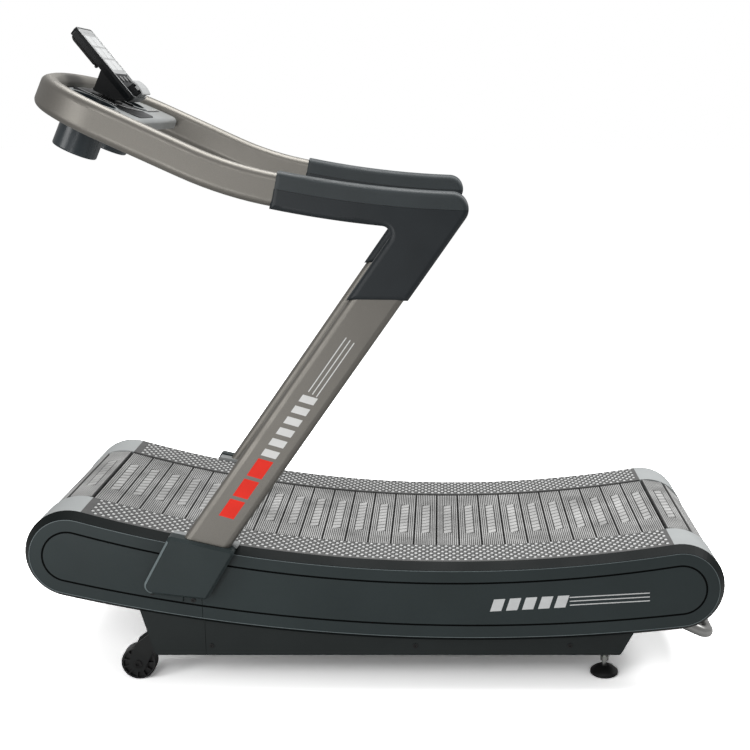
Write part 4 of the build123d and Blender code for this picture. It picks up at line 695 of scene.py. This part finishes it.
def cover_edge_point(step, inset):
    """Point inset from the front edge of a post cover, from its upper end at step 0."""
    first, last = (math.radians(angle) for angle in EDGE_ANGLES)
    if step == 0:
        return (EDGE_START[0] - inset * math.cos(first), EDGE_START[1] - inset * math.sin(first))
    angle = first + (last - first) * (step - 1) / EDGE_STEPS
    reach = EDGE_RADIUS - inset
    return (EDGE_CENTRE[0] + reach * math.cos(angle), EDGE_CENTRE[1] + reach * math.sin(angle))


for side, sign in (("left", -1), ("right", 1)):
    rings = []
    for step in range(EDGE_STEPS + 2):
        corners = []
        for inset, lift in HIGHLIGHT_SECTION:
            x, z = cover_edge_point(step, inset)
            corners.append(Vector((x, sign * (POST_COVER_SHOULDER + inset + lift), z)))
        rings.append(corners)
    # Light strip along the front edge of the post cover: painted highlight.
    edge = Shape()
    edge.rings(rings)
    edge.build(f"{side}_post_cover_edge", FINISHES["cover_highlight_line"], "root", "cover_plastic")

# ---- Tabs below the post covers -------------------------------------------------------------
TAB_CORNERS = ((-0.5520, 0.2560), (-0.5460, 0.2720), (-0.4880, 0.2600), (-0.4900, 0.2460))
TAB_BEVELS = ((0.0085, 0.0006), (0.0080, -0.0010), (-0.0015, -0.0010), (-0.0015, 0.0006))
TAB_HEIGHTS = (COVER_Y - 0.0005, COVER_Y + 0.0012, COVER_Y + 0.0055)
for side, sign in (("left", -1), ("right", 1)):
    top = [(x + dx, z + dz) for (x, z), (dx, dz) in zip(TAB_CORNERS, TAB_BEVELS)]
    tab = Shape()
    tab.bevelled(TAB_CORNERS, top, *TAB_HEIGHTS, lambda x, z, y: Vector((x, sign * y, z)))
    tab.build(f"{side}_cover_tab", FINISHES["cover_plastic"], "root", "cover_plastic")

# ---- Console details ------------------------------------------------------------------------
CONSOLE_HALF_WIDTH = 0.070
CONSOLE_HEIGHT = 0.225
CONSOLE_CORNER = 0.010
CONSOLE_THICKNESS = 0.022
BACK_PLATES = ((0.0040, 0.0016, 0.0030), (0.0065, 0.0044, 0.0058), (0.0100, 0.0070, 0.0080))
BACK_PLATE_SPAN = (0.118, 0.219)
BACK_CORE_INSET = 0.013
EDGE_LINE_WIDTH = 0.0018
EDGE_LINE_INSET = 0.0012
EDGE_LINE_HEIGHT = 0.0009
BACK_PLATE_CORNER = 0.006
BACK_CORE = (-CONSOLE_THICKNESS - 0.0075, -CONSOLE_THICKNESS + 0.001)
KNOB_PLACE = (-0.052, 0.122, -CONSOLE_THICKNESS - 0.006)
KNOB_STEPS = 14
KNOB_RINGS = ((0.0035, -0.004), (0.0042, -0.003), (0.0042, 0.003), (0.0035, 0.004))
FIELD_FIRST = (-0.052, 0.090)
FIELD_PITCH = (0.054, 0.038)
FIELD_SIZE = (0.049, 0.032)
FIELD_CORNER = 0.002
FIELD_HEIGHT = 0.0002
FACE_OUTER = (-0.0645, 0.0645, 0.077, 0.2195, 0.008)
FACE_INNER = (-0.058, 0.058, 0.084, 0.208, 0.006)
FACE_HEIGHT = 0.0004
PIN_PLACE = (0.0566, -0.0552)
PIN_STEPS = 20
PIN_RINGS = ((0.0068, -SEAT, 0.0012), (0.0050, 0.0010, 0.0018))  # radius, from, to
WEDGE_HALF_WIDTH = 0.042


def console_outline(inset, low, high, corner):
    """Rounded outline on the console, inset from its width and from the span low to high."""
    half = CONSOLE_HALF_WIDTH - inset
    return rounded(-half, half, low + inset, high - inset, corner)


plates = Shape()
for inset, near, far in BACK_PLATES:
    plates.prism(
        console_outline(inset, *BACK_PLATE_SPAN, BACK_PLATE_CORNER),
        -CONSOLE_THICKNESS - far,
        -CONSOLE_THICKNESS - near,
        console_point,
    )
core = console_outline(BACK_CORE_INSET, *BACK_PLATE_SPAN, BACK_PLATE_CORNER)
plates.prism(core, *BACK_CORE, console_point)
plates.build("console_back_plates", FINISHES["screw_steel"], "console", "screw_steel")

knob = Shape()
knob_centre = console_point(*KNOB_PLACE)
knob.rings([
    [knob_centre + Vector((a, depth, b)) for a, b in circle(radius, KNOB_STEPS)]
    for radius, depth in KNOB_RINGS
])
knob.build("console_back_knob", FINISHES["screw_steel"], "console", "screw_steel", smooth=True)

edge_outlines = [
    console_outline(inset, 0, CONSOLE_HEIGHT, CONSOLE_CORNER - inset)
    for inset in (EDGE_LINE_INSET, EDGE_LINE_INSET + EDGE_LINE_WIDTH)
]
edge_line = Shape()
edge_line.frame(*edge_outlines, -SEAT, EDGE_LINE_HEIGHT, console_point)
edge_line.build("console_edge_line", FINISHES["bright_trim"], "console", "rest_plastic")

display = Shape()
for row in range(3):
    for column in range(2):
        a = FIELD_FIRST[0] + column * FIELD_PITCH[0]
        b = FIELD_FIRST[1] + row * FIELD_PITCH[1]
        field = rounded(a, a + FIELD_SIZE[0], b, b + FIELD_SIZE[1], FIELD_CORNER)
        display.prism(field, -SEAT, FIELD_HEIGHT, console_point)
display.build("console_display_fields", FINISHES["display_print"], "console")

face = Shape()
face.frame(rounded(*FACE_OUTER), rounded(*FACE_INNER), -SEAT, FACE_HEIGHT, console_point)
face.build("console_face_frame", FINISHES["screen_glass"], "console", "screen_glass")

pin_caps = Shape()
for sign in (-1, 1):
    def on_wedge(a, b, out):
        return console_point(sign * (WEDGE_HALF_WIDTH + out), PIN_PLACE[0] + a, PIN_PLACE[1] + b)

    for radius, low, high in PIN_RINGS:
        pin_caps.prism(circle(radius, PIN_STEPS), low, high, on_wedge)
pin_caps.build("console_pin_caps", FINISHES["console_plastic"], "console", "console_plastic")

# ---- Dash details ---------------------------------------------------------------------------
TRAY_TOP = 0.018
PANEL_TOP = 0.020
PANEL_EDGE_Y = (0.0865, 0.0925)
PANEL_EDGE_SPAN = (0.057, 0.172)
PANEL_EDGE_TOP = 0.0245
RIM_TOP = 0.021
CUP_PLACE = (0.130, 0.152)
HOOK_ENDS = ((0.130, -0.040), (0.187, -0.042), (0.205, 0.080))
HOOK_STEPS = 16
# Dark band along the hook line: painted shadow of the cup rim.
HOOK_SHADOW = (-0.0016, 0.0016)
HOOK_BAND = (0.0018, 0.0080)
HOOK_SHADOW_TOP = PANEL_TOP + 0.0008
HOOK_BAND_TOP = PANEL_TOP + 0.0022
RIDGE_ALONG = (0.1930, 0.1985)
RIDGE_ACROSS = (0.150, 0.290)
RIDGE_TOP = TRAY_TOP + 0.0030
GROOVE_MARGIN = 0.004
RIDGE_GROOVE_TOP = TRAY_TOP + 0.0004
SILVER_LINE_START = 0.010
SILVER_LINE_HALF = 0.0014
SILVER_LINE_HEIGHT = 0.0006
CUP_RING_RADII = (0.0634, 0.0570)
CUP_RING_STEPS = 48
CUP_RING_HEIGHT = 0.0010


def hook_line():
    """Curve on the tray from the console's foot round towards one cup."""
    line = []
    for k in range(HOOK_STEPS + 1):
        t = k / HOOK_STEPS
        weights = ((1 - t) ** 2, 2 * t * (1 - t), t * t)
        a = sum(weight * end[0] for weight, end in zip(weights, HOOK_ENDS))
        b = sum(weight * end[1] for weight, end in zip(weights, HOOK_ENDS))
        line.append((a, b))
    return line


dark_edges_and_shadow = Shape()
silver_lines = Shape()
silver_rims = Shape()
for sign in (-1, 1):
    low, high = sorted(sign * y for y in PANEL_EDGE_Y)
    edge = rectangle(*PANEL_EDGE_SPAN, low, high)
    dark_edges_and_shadow.prism(edge, TRAY_TOP - SEAT, PANEL_EDGE_TOP, loop_point)
    middle = (low + high) / 2
    silver_lines.prism(
        rectangle(
            PANEL_EDGE_SPAN[0] + SILVER_LINE_START,
            PANEL_EDGE_SPAN[1],
            middle - SILVER_LINE_HALF,
            middle + SILVER_LINE_HALF,
        ),
        PANEL_EDGE_TOP - SEAT,
        PANEL_EDGE_TOP + SILVER_LINE_HEIGHT,
        loop_point,
    )
    cup_centre = (CUP_PLACE[0], sign * CUP_PLACE[1])
    ring_outlines = [circle(radius, CUP_RING_STEPS, cup_centre) for radius in CUP_RING_RADII]
    silver_rims.frame(*ring_outlines, RIM_TOP - SEAT, RIM_TOP + CUP_RING_HEIGHT, loop_point)
    across = sorted(sign * y for y in RIDGE_ACROSS)
    silver_lines.prism(rectangle(*RIDGE_ALONG, *across), TRAY_TOP - SEAT, RIDGE_TOP, loop_point)
    groove = rectangle(RIDGE_ALONG[0] - GROOVE_MARGIN, RIDGE_ALONG[1] + GROOVE_MARGIN, *across)
    dark_edges_and_shadow.prism(groove, TRAY_TOP - SEAT, RIDGE_GROOVE_TOP, loop_point)
hook = hook_line()
# Dark band along the hook line: painted shadow of the cup rim beside it.
dark_edges_and_shadow.band(hook, *HOOK_SHADOW, TRAY_TOP - SEAT, HOOK_SHADOW_TOP, loop_point)
silver_lines.band(hook, *HOOK_BAND, TRAY_TOP - SEAT, HOOK_BAND_TOP, loop_point)
# Dark panel edges and ridge grooves, together with the painted shadow along the hook.
dark_edges_and_shadow.build("dash_dark_edges_and_painted_shadow", FINISHES["panel_plastic"], "root", "panel_plastic")
silver_lines.build("dash_silver_lines", FINISHES["bright_trim"], "root", "rest_plastic")
silver_rims.build("cup_rim_rings", FINISHES["tray_plastic"], "root", "tray_plastic")

# ---- Camera, floor and lights ---------------------------------------------------------------
CAMERA_PLACE = (0.1627, -3.328, 1.4777)
CAMERA_DROP = math.radians(12.24)
SENSOR_WIDTH = 36.0
LENS = 59.52
CAMERA_SHIFT = -0.0867
camera_data = bpy.data.cameras.new("camera")
camera_data.sensor_width = SENSOR_WIDTH
camera_data.lens = LENS
camera_data.shift_x = CAMERA_SHIFT
camera = bpy.data.objects.new("camera", camera_data)
camera.location = CAMERA_PLACE
camera.rotation_euler = (math.pi / 2 - CAMERA_DROP, 0, 0)
bpy.context.scene.collection.objects.link(camera)
bpy.context.scene.camera = camera

FLOOR_HALF = 40.0
FLOOR_DROP = 0.0005
FLOOR_BRIGHTNESS = 2.4
FLOOR_BOUNCE = 0.45
BACKDROP = 1.0
AMBIENT = 0.42


def seen_and_reflected(nodes, links, seen, reflected):
    """Mixes a bright shader for what the camera sees with a dimmer one for the light it gives."""
    mix = nodes.new("ShaderNodeMixShader")
    links.new(nodes.new("ShaderNodeLightPath").outputs["Is Camera Ray"], mix.inputs["Fac"])
    links.new(reflected.outputs[0], mix.inputs[1])
    links.new(seen.outputs[0], mix.inputs[2])
    return mix.outputs[0]


floor_material = bpy.data.materials.new("floor_finish")
floor_material.use_nodes = True
floor_nodes = floor_material.node_tree.nodes
floor_links = floor_material.node_tree.links
floor_shaders = []
for brightness in (FLOOR_BRIGHTNESS, FLOOR_BOUNCE):
    shader = floor_nodes.new("ShaderNodeBsdfDiffuse")
    shader.inputs["Color"].default_value = (brightness, brightness, brightness, 1)
    floor_shaders.append(shader)
floor_links.new(
    seen_and_reflected(floor_nodes, floor_links, *floor_shaders),
    floor_nodes["Material Output"].inputs["Surface"],
)
floor_corners = rectangle(-FLOOR_HALF, FLOOR_HALF, -FLOOR_HALF, FLOOR_HALF)
floor_mesh = bpy.data.meshes.new("floor")
floor_mesh.from_pydata([(x, y, -FLOOR_DROP) for x, y in floor_corners], [], [(0, 1, 2, 3)])
floor_mesh.materials.append(floor_material)
floor_piece = bpy.data.objects.new("floor", floor_mesh)
bpy.context.scene.collection.objects.link(floor_piece)


LIGHTS = (  # name, place, target, size, power
    ("top_light", (0.3, 0.5, 3.6), (0.1, 0, 0.4), (3.6, 1.8), 120),
    ("front_light", (-3.2, -2.4, 1.6), (-0.4, 0, 0.6), (1.4, 1.8), 36),
    ("low_light", (-1.3, -2.8, 0.5), (-0.5, 0, 0.4), (1.0, 0.8), 16),
    ("side_light", (-1.0, -3.6, 2.6), (-0.6, 0, 1.3), (1.4, 1.0), 24),
    ("rear_light", (3.0, 0.9, 2.9), (0.3, 0, 0.6), (1.8, 1.6), 62),
)


def area_light(name, place, target, size, power):
    """Rectangular soft light aimed at a point."""
    data = bpy.data.lights.new(name, "AREA")
    data.shape = "RECTANGLE"
    data.size, data.size_y = size
    data.energy = power
    light = bpy.data.objects.new(name, data)
    light.location = place
    light.rotation_euler = (Vector(target) - Vector(place)).to_track_quat("-Z", "Y").to_euler()
    bpy.context.scene.collection.objects.link(light)


for light in LIGHTS:
    area_light(*light)

world = bpy.data.worlds.new("world")
world.use_nodes = True
world_nodes = world.node_tree.nodes
world_links = world.node_tree.links
backdrop, ambient = world_nodes["Background"], world_nodes.new("ShaderNodeBackground")
for shader, strength in ((backdrop, BACKDROP), (ambient, AMBIENT)):
    shader.inputs["Color"].default_value = (1, 1, 1, 1)
    shader.inputs["Strength"].default_value = strength
world_links.new(
    seen_and_reflected(world_nodes, world_links, backdrop, ambient),
    world_nodes["World Output"].inputs["Surface"],
)
bpy.context.scene.world = world
bpy.context.scene.view_settings.view_transform = "Standard"
